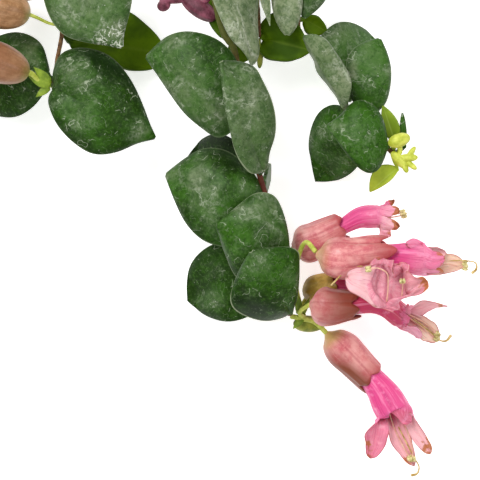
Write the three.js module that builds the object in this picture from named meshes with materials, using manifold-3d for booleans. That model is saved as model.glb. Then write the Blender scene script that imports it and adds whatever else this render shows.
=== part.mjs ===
// A cut, branching spray of a lipstick plant, lying on a table: thick waxy leaves, tan buds and a cluster
// of pink tubular flowers.
// Lengths are in mm. X runs right across the spray, Y runs up towards the cut end, Z rises from the table.
import * as THREE from "three";
import Module from "manifold-3d";

const wasm = await Module();
wasm.setup();
const { Manifold, Mesh: SolidMesh } = wasm;

// Driving dimensions.
const MIDDLE = [-8.1, 32.5]; // plan place of the middle of the spray's bounding box, moved to the origin
const JOINT_GAP = 0.35; // free space between a leaf stalk and the stem that it grows from
const LEAF_THICK = 1.5; // blade at its middle
const LEAF_EDGE = 0.75; // blade at its rim
const PETIOLE_HALF = 0.9; // half width of a leaf stalk
const PETIOLE_THICK = 1.7;
const LEAF_FULLNESS = 1.7; // exponent sum of the leaf outline, larger is more pointed at both ends
const TABLE_PAD = 0.8; // thickness left where a leaf is pressed flat on the table
const TABLE_LIFT = 0.3; // lowest place of a blade's middle surface
const CALYX_WALL = 0.8;
const COROLLA_WALL = 0.65;
const FLOWER_SIDES = 20; // facets round a flower, four for each of its five lobes
const CALYX_SIDES = 15; // facets round a calyx, three for each of its five lobes
const NECK_GAP = 1.95; // between a calyx's mouth and the tube that leaves it, wall and free space
const LOBE_PULL = -0.3; // how far a lobe narrows towards its tip, less than nothing where it widens
const FILAMENT_RADIUS = 0.38;
const ANTHER_RADIUS = 0.75;
const STEM_SIDES = 7; // facets round a stem
const STALK_SIDES = 5; // facets round a flower stalk or a filament

// Colour and roughness of each kind of tissue.
const FINISHES = {
  leaf: ["#3f6b2c", 0.45],
  leaf_under: ["#5a7a22", 0.6],
  leaf_young: ["#9db447", 0.5],
  stem: ["#5b3f24", 0.85],
  stalk: ["#a9b353", 0.6],
  bud_green: ["#c3c659", 0.5],
  bud_tan: ["#bd8a5f", 0.5],
  calyx: ["#cf7f86", 0.5],
  calyx_dusky: ["#8a4a5c", 0.55],
  corolla: ["#ec66a6", 0.55],
  stamens: ["#d9b98a", 0.6],
};

// Stems: centre line points with the radius at each.
const STEMS = {
  main: [
    [0, 136, 1.9, 1.9],
    [-1.5, 124, 3.4, 1.8],
    [-5, 110, 8, 1.7],
  ],
  middle: [
    [-5, 110, 8, 1.5],
    [-8.5, 98, 13, 1.25],
    [-9.3, 86, 18, 1.15],
    [-7.5, 72, 22, 1],
    [-4.8, 61.8, 24, 0.95],
    [-1.8, 57.3, 24.6, 0.95],
    [0, 44.4, 25, 0.95],
    [3, 31.5, 25, 0.85],
    [5.7, 20.1, 25, 0.85],
    [9, 8.4, 24, 0.85],
    [12, -4.5, 22, 0.85],
    [14.4, -18, 20, 0.85],
    [15, -22.8, 19.4, 0.8],
  ],
  left: [
    [-5, 110, 8, 1.3],
    [-22, 106.5, 14, 1.05],
    [-40, 99, 20, 0.9],
    [-52, 91, 22.6, 0.8],
    [-55.6, 82, 23, 0.75],
    [-55, 72, 22, 0.7],
    [-53.5, 63.5, 21.5, 0.7],
    [-54.9, 54.6, 20.8, 0.65],
    [-56, 46.8, 20, 0.65],
  ],
  shoot: [
    [-8, 98.6, 13, 1],
    [0, 90, 16.6, 0.8],
    [4.6, 80, 19, 0.7],
    [5.6, 72, 19.6, 0.65],
    [6.2, 66.9, 20, 0.6],
    [6.3, 61, 20, 0.6],
  ],
  right: [
    [-5, 110, 8, 1.3],
    [8, 103, 12, 1],
    [16.6, 91, 16, 0.9],
    [19, 78, 18, 0.8],
    [17.4, 66, 18, 0.75],
    [18.6, 60, 17.6, 0.75],
    [23.6, 54.6, 18, 0.75],
    [28.6, 46.6, 19, 0.75],
    [31.5, 39.9, 20, 0.75],
    [38, 33.4, 20.8, 0.7],
    [44.4, 27.6, 21, 0.7],
    [46.6, 25.4, 21, 0.65],
  ],
};

// Leaves. from: the place on the stem, with the stem's radius. base, tip: the ends of the blade.
// left, right: half width in plan and where along the blade it is widest. arch: rise of the middle.
// roll: rise of the left edge over the midrib. dome: fall of both edges. full: outline exponent sum.
// thick: thickness at the middle where it isn't LEAF_THICK.
const LEAVES = [
  {
    name: "leaf_left_1", from: [-55.6, 82.5, 23, 0.75], base: [-56, 84.2, 26.6], tip: [-36.9, 57.9, 29.5],
    left: [14, 0.48], right: [11, 0.46], full: 1.9, arch: 5, roll: 0, dome: 2.6,
  },
  {
    name: "leaf_left_2", from: [-53.5, 63, 21.5, 0.7], base: [-51.6, 60, 17.6], tip: [-22.5, 57.6, 2],
    left: [12, 0.4], right: [6.8, 0.6], arch: 1, roll: 0, dome: -2, under: true,
  },
  {
    name: "leaf_left_3", from: [-56, 46.9, 20, 0.65], base: [-55.6, 45.6, 25.4], tip: [-25.8, 30.9, 22],
    left: [16.6, 0.25], right: [12.8, 0.42], full: 1.4, arch: 6, roll: 0, dome: 1.8,
  },
  {
    name: "leaf_left_4", from: [-56, 47.4, 20, 0.65], base: [-57.6, 49.6, 18.2], tip: [-87, 48, -5],
    left: [11.9, 0.3], right: [14.4, 0.18], full: 1.2, arch: 4, roll: 0, dome: 1.5,
  },
  {
    name: "leaf_middle_1", from: [-9.2, 85, 18.4, 1.5], base: [-4.6, 84.8, 26], tip: [3.4, 54.7, 33],
    left: [5.5, 0.4], right: [7.6, 0.35], full: 1.2, arch: 5, roll: -5, dome: 1,
  },
  {
    name: "leaf_middle_2", from: [-4.8, 61.8, 24, 0.95], base: [-4, 60.4, 19.6], tip: [-2, 87, 3],
    left: [7, 0.4], right: [6, 0.4], arch: 1, roll: 0, dome: -1.5, under: true,
  },
  {
    name: "leaf_middle_3", from: [-0.2, 45, 25, 0.95], base: [-0.8, 44.4, 28], tip: [-28.1, 54.9, 23.4],
    left: [14.8, 0.19], right: [12.9, 0.5], full: 1.35, arch: 4, roll: 0, dome: 2.2,
  },
  {
    name: "leaf_middle_4", from: [5.7, 20.1, 25, 0.85], base: [6.6, 20.6, 29], tip: [-6, 52.8, 36],
    left: [5.2, 0.25], right: [10.6, 0.6], full: 1.4, arch: 5, roll: 4, dome: 1.5,
  },
  {
    name: "leaf_middle_5", from: [5.3, 21.6, 25, 0.85], base: [3.6, 21.8, 20.6], tip: [-17.4, 22.6, -6],
    left: [8, 0.45], right: [9.5, 0.4], arch: 3, roll: 0, dome: 1.5,
  },
  {
    name: "leaf_middle_6", from: [6.4, 17.8, 24.9, 0.85], base: [7.5, 18.6, 21.4], tip: [8.9, 18.4, 1],
    left: [4.8, 0.42], right: [4.8, 0.42], arch: 0, roll: 0, dome: 0,
  },
  {
    name: "leaf_middle_7", from: [9, 8.4, 24, 1], base: [6.4, 8.6, 26.4], tip: [-22.2, 19.6, 22],
    left: [14.1, 0.32], right: [13.3, 0.5], full: 1.55, arch: 5, roll: 0, dome: 2.2,
  },
  {
    name: "leaf_middle_8", from: [12, -4.5, 22, 0.85], base: [14.4, -3.4, 25.8], tip: [-6.9, 4.5, 32],
    left: [14.5, 0.42], right: [13.8, 0.48], full: 1.6, arch: 4.5, roll: -1.5, dome: 2.4,
  },
  {
    name: "leaf_middle_9", from: [12, -5, 21.9, 0.85], base: [9.4, -6.8, 18.6], tip: [-16.1, -18.6, -5],
    left: [12, 0.5], right: [12.2, 0.5], arch: 4, roll: 0, dome: 1.6,
  },
  {
    name: "leaf_middle_10", from: [15, -22, 19.5, 0.8], base: [15, -21.7, 23.4], tip: [2.9, -3.4, 38],
    left: [13.2, 0.42], right: [11, 0.58], full: 1.5, arch: 4, roll: 0, dome: 2,
  },
  {
    name: "leaf_shoot_1", from: [4.6, 80, 19, 0.7], base: [6.2, 80, 22.4], tip: [9, 64.3, 24.5],
    left: [1.4, 0.4], right: [1.6, 0.4], arch: 1.5, roll: 0, dome: -1, thick: 0.85,
  },
  {
    name: "leaf_shoot_2", from: [18.7, 79.4, 17.9, 1.15], base: [14.6, 82, 21], tip: [14.1, 61.5, 27],
    left: [4.1, 0.5], right: [4.6, 0.42], full: 1.3, arch: 3, roll: 1.5, dome: 2.5,
  },
  {
    name: "leaf_shoot_3", from: [6.3, 61.4, 20, 0.6], base: [7.8, 60.6, 16.6], tip: [21.3, 57, 22.4],
    left: [7.5, 0.4], right: [4.5, 0.46], arch: 0, roll: 0, dome: -1, under: true,
  },
  {
    name: "leaf_shoot_4", from: [6.1, 64, 20, 0.85], base: [3.6, 61, 17], tip: [-3.6, 53.6, 12],
    left: [4, 0.45], right: [4, 0.4], arch: 1, roll: 0, dome: -1, under: true,
  },
  {
    name: "leaf_right_1", from: [17.4, 88.6, 16.4, 1.5], base: [21.4, 86.6, 20.8], tip: [19.2, 66.8, 23],
    left: [7, 0.45], right: [1.9, 0.5], arch: 3, roll: 0, dome: 2,
  },
  {
    name: "leaf_right_2", from: [17.4, 66.4, 18, 0.85], base: [19.4, 66.8, 15], tip: [26, 63.2, 11],
    left: [2.6, 0.45], right: [3.4, 0.45], arch: 0.5, roll: 0, dome: -1, under: true,
  },
  {
    name: "leaf_right_3", from: [31.4, 40, 20, 0.75], base: [31.6, 40, 23.8], tip: [19.5, 60.6, 27],
    left: [1.4, 0.55], right: [5.9, 0.45], full: 1.3, arch: 3, roll: -4, dome: 0.5,
  },
  {
    name: "leaf_right_4", from: [31.4, 40, 20, 0.9], base: [31.8, 41.8, 16], tip: [40, 63.8, -4],
    left: [14.6, 0.68], right: [6, 0.4], full: 1.1, arch: 5, roll: 0, dome: 1,
  },
  {
    name: "leaf_right_5", from: [38, 33.6, 20.8, 0.7], base: [40, 38, 20.2], tip: [42, 60, 21],
    left: [9.6, 0.46], right: [3.9, 0.46], full: 1.5, arch: 3, roll: 0, dome: 1.8,
  },
  {
    name: "leaf_right_6", from: [33, 38.4, 20.2, 0.75], base: [34, 38.8, 16.4], tip: [22.9, 17.8, -6],
    left: [9, 0.5], right: [9.2, 0.28], full: 1.4, arch: 4, roll: 0, dome: 1.2,
  },
  {
    name: "leaf_right_7", from: [44.4, 27.6, 21, 0.7], base: [43.9, 28, 25.2], tip: [26.1, 34, 25],
    left: [8.8, 0.26], right: [10.8, 0.46], full: 1.7, arch: 4.5, roll: 0, dome: 2,
  },
  {
    name: "leaf_young_1", from: [45.8, 26.4, 21, 0.95], base: [46.6, 29.6, 19.6], tip: [43.2, 40.4, 21],
    left: [1.6, 0.4], right: [2.1, 0.4], arch: 1, roll: 0, dome: -0.8, thick: 0.85, young: true,
  },
  {
    name: "leaf_young_2", from: [46.4, 25.6, 21, 0.75], base: [49.2, 27.8, 19], tip: [48.9, 38.2, 19],
    left: [1.1, 0.4], right: [1.1, 0.4], arch: 1, roll: 0, dome: -0.3, thick: 0.85,
  },
  {
    name: "leaf_young_3", from: [46.2, 25.2, 21, 0.65], base: [47.4, 21.6, 18.6], tip: [39.3, 14.6, 16],
    left: [1.5, 0.4], right: [4.4, 0.45], arch: 1, roll: 0, dome: -0.8, thick: 0.85, young: true,
  },
  {
    name: "leaf_fork_1", from: [-4.6, 111, 7.6, 2.3], base: [-12, 113, 8], tip: [-36, 122, -5],
    left: [11.5, 0.42], right: [11.5, 0.42], arch: 4, roll: 0, dome: 1.5,
  },
  {
    name: "leaf_fork_2", from: [-3.4, 114.6, 6.8, 1.7], base: [2.6, 116, 8.2], tip: [27, 122, -5],
    left: [11, 0.42], right: [11.5, 0.42], arch: 4, roll: 0, dome: 1.5,
  },
];

// Flowers. up: the side of the upper lip. skew: widening of the facets there. width, depth: the calyx at
// its swelling. mouth, throat: the openings of calyx and corolla. lobe, lobes: lengths of the calyx's lobes
// and of the corolla's, these clockwise from the upper right seen from the stalk. calyx, corolla: points
// along the middle of each. flare: degrees that each lobe bends outwards. threads: far points of the
// filaments. style: the way of the style.
const FLOWERS = [
  {
    name: "flower_1", up: [0, 1, 0.1], skew: 0.1,
    width: 10.6, depth: 10.8, mouth: 8.8, lobe: 2.8, throat: 7.8,
    calyx: [[15.6, -2, 13.4], [21.4, -0.3, 14], [29.6, 3.9, 14.6]],
    corolla: [[35.4, 6.2, 15], [41.2, 6.8, 15.4]],
    lobes: [6, 4.6, 7, 4.6, 6], flare: [-8, 20, 56, 20, -8],
    threads: [[45.4, 7.4, 16.2], [46, 6.6, 14.8]], style: [],
  },
  {
    name: "flower_2", up: [0, 0.3, 1], skew: 0.2,
    width: 14, depth: 12.4, mouth: 10.6, lobe: 3.2, throat: 9.4,
    calyx: [[22.6, -4.4, 25.4], [32, -5.4, 26.2], [42.6, -4.6, 26.4]],
    corolla: [[48.8, -5.4, 26.6], [53.6, -6.2, 26]],
    lobes: [8, 6, 13, 6, 8], flare: [-14, 44, -10, 58, -14],
    threads: [[66.8, -7.2, 22.6], [67, -8.6, 22.6]], style: [[69.6, -7.4, 22], [70.4, -9.4, 21.6]],
  },
  {
    name: "flower_3", up: [0.4, 1, 0.1], skew: -0.2,
    width: 10, depth: 9.6, mouth: 8, lobe: 2, throat: 8,
    calyx: [[20, -17.4, 8], [24.6, -15, 11.6], [29.8, -13.6, 15.4]],
    corolla: [[40, -14, 21.8], [44.8, -13.6, 33]],
    lobes: [6.6, 14, 5, 10, 6.6], flare: [96, 124, 110, 120, 96],
    threads: [[42, -10.4, 41.5], [47.2, -11.8, 40.5]], style: [],
  },
  {
    name: "flower_4", up: [0, 0.2, 1], skew: 0.35,
    width: 11.2, depth: 10.8, mouth: 8.4, lobe: 3, throat: 9.4,
    calyx: [[20.8, -19.2, 23], [26.4, -20, 23.8], [32.6, -19.6, 23.2]],
    corolla: [[42.6, -21.2, 21.4], [51, -24.6, 19]],
    lobes: [2.6, 8.6, 9.6, 12, 2.6], flare: [8, 24, 8, 58, 8],
    threads: [[59.4, -28.2, 16.6], [60, -27, 16.2]], style: [[61.6, -29.6, 15.4], [63.4, -29, 15.6]],
  },
  {
    name: "flower_5", up: [0, 0.2, 1], skew: 0.35,
    width: 11, depth: 10.4, mouth: 8.8, lobe: 2.8, throat: 10,
    calyx: [[26, -28, 13.6], [32.6, -34.4, 13], [38.6, -41, 12]],
    corolla: [[42.8, -47.6, 11.8], [45.6, -53.6, 11.2]],
    lobes: [2.4, 14.5, 14, 13.6, 2.4], flare: [8, 66, 10, 40, 8],
    threads: [[52.6, -66.4, 5.4], [51.4, -67.2, 5.2]], style: [[54, -69.4, 4], [52, -71, 3.4]],
  },
];

// Buds and young growth. stalk: rod points with a radius each. beads: start, end and radius of a swelling.
const BUDS = [
  {
    name: "bud_left_1", finish: "bud_tan",
    stalk: [
      [-54.6, 64.7, 21.9, 0.55],
      [-57.6, 65.2, 23, 0.55],
      [-60.6, 66.6, 24.4, 0.6],
      [-64.6, 68.2, 25.6, 0.9],
    ],
    beads: [[[-63, 67.6, 25.4], [-82, 74.4, 27], 5.2]],
  },
  {
    name: "bud_left_2", finish: "bud_tan",
    stalk: [
      [-57, 46.4, 20.6, 0.55],
      [-59.6, 47, 22.6, 0.6],
      [-62.4, 49.8, 25.6, 1.4],
      [-64.6, 50.6, 26.6, 1.8],
    ],
    beads: [[[-61.8, 49.9, 26.4], [-84, 56.4, 28], 6]],
  },
  {
    name: "bud_left_3", finish: "bud_tan",
    stalk: [[-56, 76.4, 20.8, 0.55], [-58, 76, 19.6, 0.6], [-61, 76.4, 19, 0.9]],
    beads: [[[-60, 76, 19.2], [-77, 81, 16.6], 4.8]],
  },
  {
    name: "bud_top", finish: "calyx_dusky",
    stalk: [[-9.2, 73.6, 20.4, 0.6], [-10.6, 71.6, 19.2, 0.8], [-13, 71, 18.2, 1.4]],
    beads: [
      [[-10.6, 70.2, 18.4], [-21.6, 73.8, 16.8], 3.7],
      [[-17, 72.8, 17], [-26.6, 72.4, 16], 2.9],
    ],
  },
  {
    name: "bud_young", finish: "bud_green",
    stalk: [[47.4, 25.2, 22.4, 0.6], [48, 26.4, 24, 0.9], [47.6, 29.4, 24.8, 1]],
    beads: [
      [[44.8, 29.2, 25.6], [50.6, 31, 24.8], 2.1],
      [[45.4, 26.4, 24.2], [50.4, 21.4, 23.6], 1.6],
      [[47.6, 24.6, 23.8], [53.2, 24.6, 24.6], 1.5],
      [[50, 24.2, 24], [52.6, 28, 24.8], 1],
      [[50, 23.6, 24], [53, 21.2, 24.8], 1],
    ],
  },
  {
    name: "bud_shoot", finish: "leaf_young",
    stalk: [[6.3, 59.8, 19.4, 0.5], [6, 57, 18.2, 0.5]],
    beads: [[[6.4, 58.2, 18.8], [5.4, 51.4, 16.6], 1.1]],
  },
];

// Stalks of the flower cluster, each from the stem outwards, with its bract and a green bud.
const CLUSTER = {
  stalks: [
    [[15.9, -23.8, 18.6, 0.8], [19.4, -23.8, 17, 0.9], [22.6, -24.8, 15.2, 0.8], [25.6, -27.3, 13.8, 0.8]],
    [
      [19.4, -23.8, 17, 0.9],
      [17, -15, 16.4, 0.7],
      [17.6, -6, 19.4, 0.65],
      [20.6, 0.6, 22, 0.6],
      [21.8, -3.4, 24.8, 0.7],
    ],
    [[19.4, -23.8, 17, 0.9], [16.4, -16, 14.4, 0.7], [14.2, -8, 12.6, 0.65], [14.4, -1.4, 12.9, 0.7]],
    [[19.4, -23.8, 17, 0.9], [18, -21.4, 12, 0.7], [18.8, -18.6, 8, 0.8]],
    [[19.4, -23.8, 17, 0.9], [18, -21.6, 20.6, 0.75], [19.4, -19.4, 22.6, 0.8]],
  ],
  beads: [
    [[16.4, -25.2, 16.6], [25.4, -25.6, 9], 2.6],
    [[17.6, -19.6, 17.4], [17.6, -14.4, 18.6], 0.9],
    [[18.4, -23.6, 17.4], [15.8, -26.4, 17.6], 1],
  ],
};

// Small geometry helpers.
const v3 = (p) => new THREE.Vector3(p[0], p[1], p[2]);
const mix = (a, b, t) => a + (b - a) * t;

function smoothPath(points) {
  return new THREE.CatmullRomCurve3(points.map(v3), false, "centripetal");
}

function meshFrom(name, numbers, faces, finish) {
  const geometry = new THREE.BufferGeometry();
  geometry.setAttribute("position", new THREE.Float32BufferAttribute(numbers, 3));
  geometry.setIndex(faces);
  geometry.computeVertexNormals();
  const [color, roughness] = FINISHES[finish];
  const mesh = new THREE.Mesh(geometry, new THREE.MeshStandardMaterial({ color, roughness, metalness: 0 }));
  mesh.name = name;
  return mesh;
}

// Leaf: rows run from base to tip, columns from the right edge to the left one.
const LEAF_ROWS = [0, 0.03, 0.1, 0.22, 0.38, 0.55, 0.71, 0.85, 0.95, 1];
const LEAF_COLUMNS = [-1, -0.55, 0, 0.55, 1];

function outline(t, widest, full) {
  const a = full * widest;
  const b = full - a;
  const peak = widest ** a * (1 - widest) ** b;
  return (t ** a * (1 - t) ** b) / peak;
}

// The middle surface of a blade, t from base to tip and s from the right edge (-1) to the left edge (1).
function bladePoint(leaf, t, s) {
  const chord = v3(leaf.tip).sub(v3(leaf.base));
  const flat = Math.hypot(chord.x, chord.y);
  const side = [-chord.y / flat, chord.x / flat];
  const [half, widest] = s > 0 ? leaf.left : leaf.right;
  const share = outline(t, widest, leaf.full ?? LEAF_FULLNESS);
  const floor = PETIOLE_HALF * (1 - t) + 0.35 * t;
  const across = s * Math.max(half * share, floor);
  const rise = leaf.arch * 4 * t * (1 - t) + share * (leaf.roll * s - leaf.dome * s * s);
  return new THREE.Vector3(
    mix(leaf.base[0], leaf.tip[0], t) + side[0] * across,
    mix(leaf.base[1], leaf.tip[1], t) + side[1] * across,
    Math.max(mix(leaf.base[2], leaf.tip[2], t) + rise, TABLE_LIFT),
  );
}

function bladeNormal(leaf, t, s) {
  const step = 0.02;
  const u = Math.min(Math.max(t, step), 1 - step);
  const w = Math.min(Math.max(s, -1 + step), 1 - step);
  const along = bladePoint(leaf, u + step, w).sub(bladePoint(leaf, u - step, w));
  const across = bladePoint(leaf, u, w + step).sub(bladePoint(leaf, u, w - step));
  return along.cross(across).normalize();
}

function leafMesh(leaf) {
  const root = v3(leaf.from);
  const base = v3(leaf.base);
  const stalk = base.clone().sub(root).normalize();
  const start = root.addScaledVector(stalk, leaf.from[3] + JOINT_GAP);
  const top = [];
  const bottom = [];
  const put = (point, normal, thick) => {
    const low = point.clone().addScaledVector(normal, -thick / 2);
    const high = point.clone().addScaledVector(normal, thick / 2);
    low.z = Math.max(low.z, 0);
    high.z = Math.max(high.z, TABLE_PAD);
    top.push(high.toArray());
    bottom.push(low.toArray());
  };
  const first = bladePoint(leaf, 0, 1).sub(bladePoint(leaf, 0, -1)).normalize();
  const lift = stalk.clone().cross(first).normalize();
  for (const s of LEAF_COLUMNS) {
    put(start.clone().addScaledVector(first, s * PETIOLE_HALF), lift, PETIOLE_THICK * (1 - 0.3 * s * s));
  }
  for (const t of LEAF_ROWS) {
    for (const s of LEAF_COLUMNS) {
      const thin = Math.max(s * s, t ** 4);
      put(bladePoint(leaf, t, s), bladeNormal(leaf, t, s), mix(leaf.thick ?? LEAF_THICK, LEAF_EDGE, thin));
    }
  }
  const faces = plateFaces(LEAF_ROWS.length + 1, LEAF_COLUMNS.length);
  return meshFrom(leaf.name, [...top, ...bottom].flat(), faces, leafFinish(leaf));
}

function leafFinish(leaf) {
  if (leaf.young) {
    return "leaf_young";
  }
  return leaf.under ? "leaf_under" : "leaf";
}

// Faces of a closed plate whose upper and lower points are both laid out in rows and columns.
function plateFaces(rows, columns) {
  const faces = [];
  const under = rows * columns;
  const quad = (a, b, c, d) => faces.push(a, b, c, a, c, d);
  const at = (r, c) => r * columns + c;
  for (let r = 0; r + 1 < rows; r++) {
    for (let c = 0; c + 1 < columns; c++) {
      const [p, q, m, n] = [at(r, c), at(r + 1, c), at(r + 1, c + 1), at(r, c + 1)];
      faces.push(p, q, m, p, m, n);
      faces.push(under + p, under + m, under + q, under + p, under + n, under + m);
    }
    const [rightA, rightB] = [at(r, 0), at(r + 1, 0)];
    quad(rightA, under + rightA, under + rightB, rightB);
    const [leftA, leftB] = [at(r, columns - 1), at(r + 1, columns - 1)];
    quad(leftB, under + leftB, under + leftA, leftA);
  }
  for (let c = 0; c + 1 < columns; c++) {
    const [startA, startB] = [at(0, c), at(0, c + 1)];
    quad(startB, under + startB, under + startA, startA);
    const [endA, endB] = [at(rows - 1, c), at(rows - 1, c + 1)];
    quad(endA, under + endA, under + endB, endB);
  }
  return faces;
}

// A cross frame of a path: the point, its direction, and the two directions across it.
function frameAt(curve, t, up) {
  const point = curve.getPoint(t);
  const ahead = curve.getTangent(t);
  const high = v3(up).addScaledVector(ahead, -ahead.dot(v3(up))).normalize();
  const side = ahead.clone().cross(high);
  return { point, ahead, high, side };
}

function ringPoints(frame, sides, high, wide) {
  const angles = Array.from({ length: sides }, (_, k) => (2 * Math.PI * k) / sides);
  return ringAt(frame, angles, high, wide);
}

// Faces of a closed stack of rings with a point at each end.
function stackFaces(rings, sides) {
  const faces = [];
  const last = rings * sides;
  for (let k = 0; k < sides; k++) {
    const n = (k + 1) % sides;
    faces.push(last, k, n);
    for (let r = 0; r + 1 < rings; r++) {
      const a = r * sides;
      const b = a + sides;
      faces.push(a + k, b + k, b + n, a + k, b + n, a + n);
    }
    const top = (rings - 1) * sides;
    faces.push(last + 1, top + n, top + k);
  }
  return faces;
}

function stackSolid(rings, first, last) {
  const sides = rings[0].length;
  const points = [...rings.flat(), first, last].map((p) => p.toArray());
  const faces = stackFaces(rings.length, sides);
  return solidOf(points.flat(), faces);
}

function solidOf(numbers, faces) {
  const vertProperties = new Float32Array(numbers);
  const triVerts = new Uint32Array(faces);
  const solid = Manifold.ofMesh(new SolidMesh({ numProp: 3, vertProperties, triVerts }));
  return solid.volume() < 0 ? solidOf(numbers, faces.slice().reverse()) : solid;
}

// A round rod along points that each carry a radius.
function rod(points, sides, steps) {
  const curve = smoothPath(points);
  const rings = [];
  const up = Math.abs(curve.getTangent(0).z) > 0.8 ? [1, 0, 0] : [0, 0, 1];
  for (let i = 0; i <= steps; i++) {
    const t = i / steps;
    const place = t * (points.length - 1);
    const low = Math.min(Math.floor(place), points.length - 2);
    const radius = mix(points[low][3], points[low + 1][3], place - low);
    rings.push(ringPoints(frameAt(curve, t, up), sides, radius, radius));
  }
  return stackSolid(rings, curve.getPoint(0), curve.getPoint(1));
}

// A ball drawn out along an axis.
function bead(from, to, radius, sides = 8) {
  const curve = smoothPath([from, from.map((n, i) => (n + to[i]) / 2), to]);
  const up = Math.abs(curve.getTangent(0).z) > 0.8 ? [1, 0, 0] : [0, 0, 1];
  const rings = [0.12, 0.35, 0.65, 0.88].map((t) => {
    const r = radius * Math.sqrt(1 - (2 * t - 1) ** 2);
    return ringPoints(frameAt(curve, t, up), sides, r, r);
  });
  return stackSolid(rings, curve.getPoint(0), curve.getPoint(1));
}

function joined(name, solids, finish) {
  const whole = Manifold.union(solids);
  const { vertProperties, triVerts, numProp } = whole.getMesh();
  const numbers = [];
  for (let i = 0; i < vertProperties.length; i += numProp) {
    numbers.push(vertProperties[i], vertProperties[i + 1], vertProperties[i + 2]);
  }
  return meshFrom(name, numbers, Array.from(triVerts), finish);
}

// The height of the lobe edge over the mouth at each facet, with the lobe's own number and place in it.
function lobeAt(k, sides) {
  const each = sides / 5;
  const lobe = Math.floor(k / each);
  const place = (k % each) / each;
  return { lobe, place, rise: Math.sin(Math.PI * place) ** 0.5 };
}

// An open cup: rings along an axis, then lobes that run on past the mouth and bend outwards.
function cupMesh(name, cup, finish) {
  const { sides, wall, axis, up, radii, lobes, flare, lobeRings, inside, skew } = cup;
  const curve = smoothPath(axis);
  const around = (k) => (2 * Math.PI * k) / sides + skew * Math.sin((2 * Math.PI * k) / sides);
  const outer = radii.map(([t, high, wide]) => {
    const even = (k) => (2 * Math.PI * k) / sides;
    const angles = Array.from({ length: sides }, (_, k) => mix(even(k), around(k), t ** 2));
    return ringAt(frameAt(curve, t, up), angles, high, wide);
  });
  const mouth = frameAt(curve, 1, up);
  const [, high, wide] = radii[radii.length - 1];
  for (const e of lobeRings) {
    const ring = [];
    for (let k = 0; k < sides; k++) {
      const { lobe, place, rise } = lobeAt(k, sides);
      const length = Math.max(lobes[lobe] * rise, 0.25) * e;
      const bend = THREE.MathUtils.degToRad(flare[lobe]) * e || 0.01;
      const out = (length * (1 - Math.cos(bend))) / bend;
      const ahead = (length * Math.sin(bend)) / bend;
      const pull = place === 0 ? 0 : (0.5 - place) * LOBE_PULL * e;
      const angle = around(k + pull * (sides / 5));
      const p = mouth.point.clone().addScaledVector(mouth.ahead, ahead);
      p.addScaledVector(mouth.high, (high + out) * Math.cos(angle));
      p.addScaledVector(mouth.side, (wide + out) * Math.sin(angle));
      ring.push(p);
    }
    outer.push(ring);
  }
  const inner = outer.slice(inside).map((ring, i) => ring.map((p, k) => {
    const normal = ringNormal(outer, i + inside, k);
    return p.clone().addScaledVector(normal, -wall);
  }));
  const points = [...outer.flat(), ...inner.flat(), curve.getPoint(0), centre(inner[0])];
  const numbers = points.map((p) => p.toArray()).flat();
  return meshFrom(name, numbers, cupFaces(outer.length, inner.length, sides), finish);
}

function ringAt(frame, angles, high, wide) {
  return angles.map((angle) => {
    const p = frame.point.clone();
    p.addScaledVector(frame.high, high * Math.cos(angle));
    return p.addScaledVector(frame.side, wide * Math.sin(angle));
  });
}

function centre(ring) {
  const sum = new THREE.Vector3();
  ring.forEach((p) => sum.add(p));
  return sum.divideScalar(ring.length);
}

function ringNormal(rings, r, k) {
  const sides = rings[0].length;
  const ahead = rings[Math.min(r + 1, rings.length - 1)][k].clone().sub(rings[Math.max(r - 1, 0)][k]);
  const round = rings[r][(k + 1) % sides].clone().sub(rings[r][(k + sides - 1) % sides]);
  return round.cross(ahead).normalize();
}

function cupFaces(outer, inner, sides) {
  const faces = [];
  const base = outer * sides;
  const foot = (outer + inner) * sides;
  for (let k = 0; k < sides; k++) {
    const n = (k + 1) % sides;
    faces.push(foot, n, k);
    for (let r = 0; r + 1 < outer; r++) {
      const [a, b] = [r * sides, (r + 1) * sides];
      faces.push(a + k, b + n, b + k, a + k, a + n, b + n);
    }
    for (let r = 0; r + 1 < inner; r++) {
      const [a, b] = [base + r * sides, base + (r + 1) * sides];
      faces.push(a + k, b + k, b + n, a + k, b + n, a + n);
    }
    const [rim, lip] = [(outer - 1) * sides, base + (inner - 1) * sides];
    faces.push(rim + k, lip + n, lip + k, rim + k, rim + n, lip + n);
    faces.push(foot + 1, base + k, base + n);
  }
  return faces;
}

function calyxMesh(flower) {
  const [high, wide, open] = [flower.depth / 2, flower.width / 2, flower.mouth / 2];
  return cupMesh(`${flower.name}_calyx`, {
    sides: CALYX_SIDES,
    wall: CALYX_WALL,
    axis: flower.calyx,
    up: flower.up,
    radii: [
      [0.01, 1.3, 1.3],
      [0.1, high * 0.62, wide * 0.62],
      [0.35, high, wide],
      [0.65, high * 0.95, wide * 0.95],
      [1, open, open],
    ],
    lobes: [1, 1, 1, 1, 1].map(() => flower.lobe),
    flare: [0, 0, 0, 0, 0],
    lobeRings: [1],
    inside: 1,
    skew: 0,
  }, "calyx");
}

// The middle line of a corolla: it runs through its calyx and on to its own mouth.
function corollaAxis(flower) {
  const foot = smoothPath(flower.calyx).getPoint(0.17).toArray();
  return [foot, ...flower.calyx.slice(1), ...flower.corolla];
}

function corollaMesh(flower) {
  const neck = flower.mouth / 2 - NECK_GAP;
  const open = flower.throat / 2;
  return cupMesh(`${flower.name}_corolla`, {
    sides: FLOWER_SIDES,
    wall: COROLLA_WALL,
    axis: corollaAxis(flower),
    up: flower.up,
    radii: [
      [0.01, 1, 1],
      [0.12, 1.6, 1.6],
      [0.5, neck, neck],
      [0.75, mix(neck, open, 0.62), mix(neck, open, 0.5)],
      [1, open, open],
    ],
    lobes: flower.lobes,
    flare: flower.flare,
    lobeRings: [0.5, 1],
    inside: 2,
    skew: flower.skew,
  }, "corolla");
}

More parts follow.
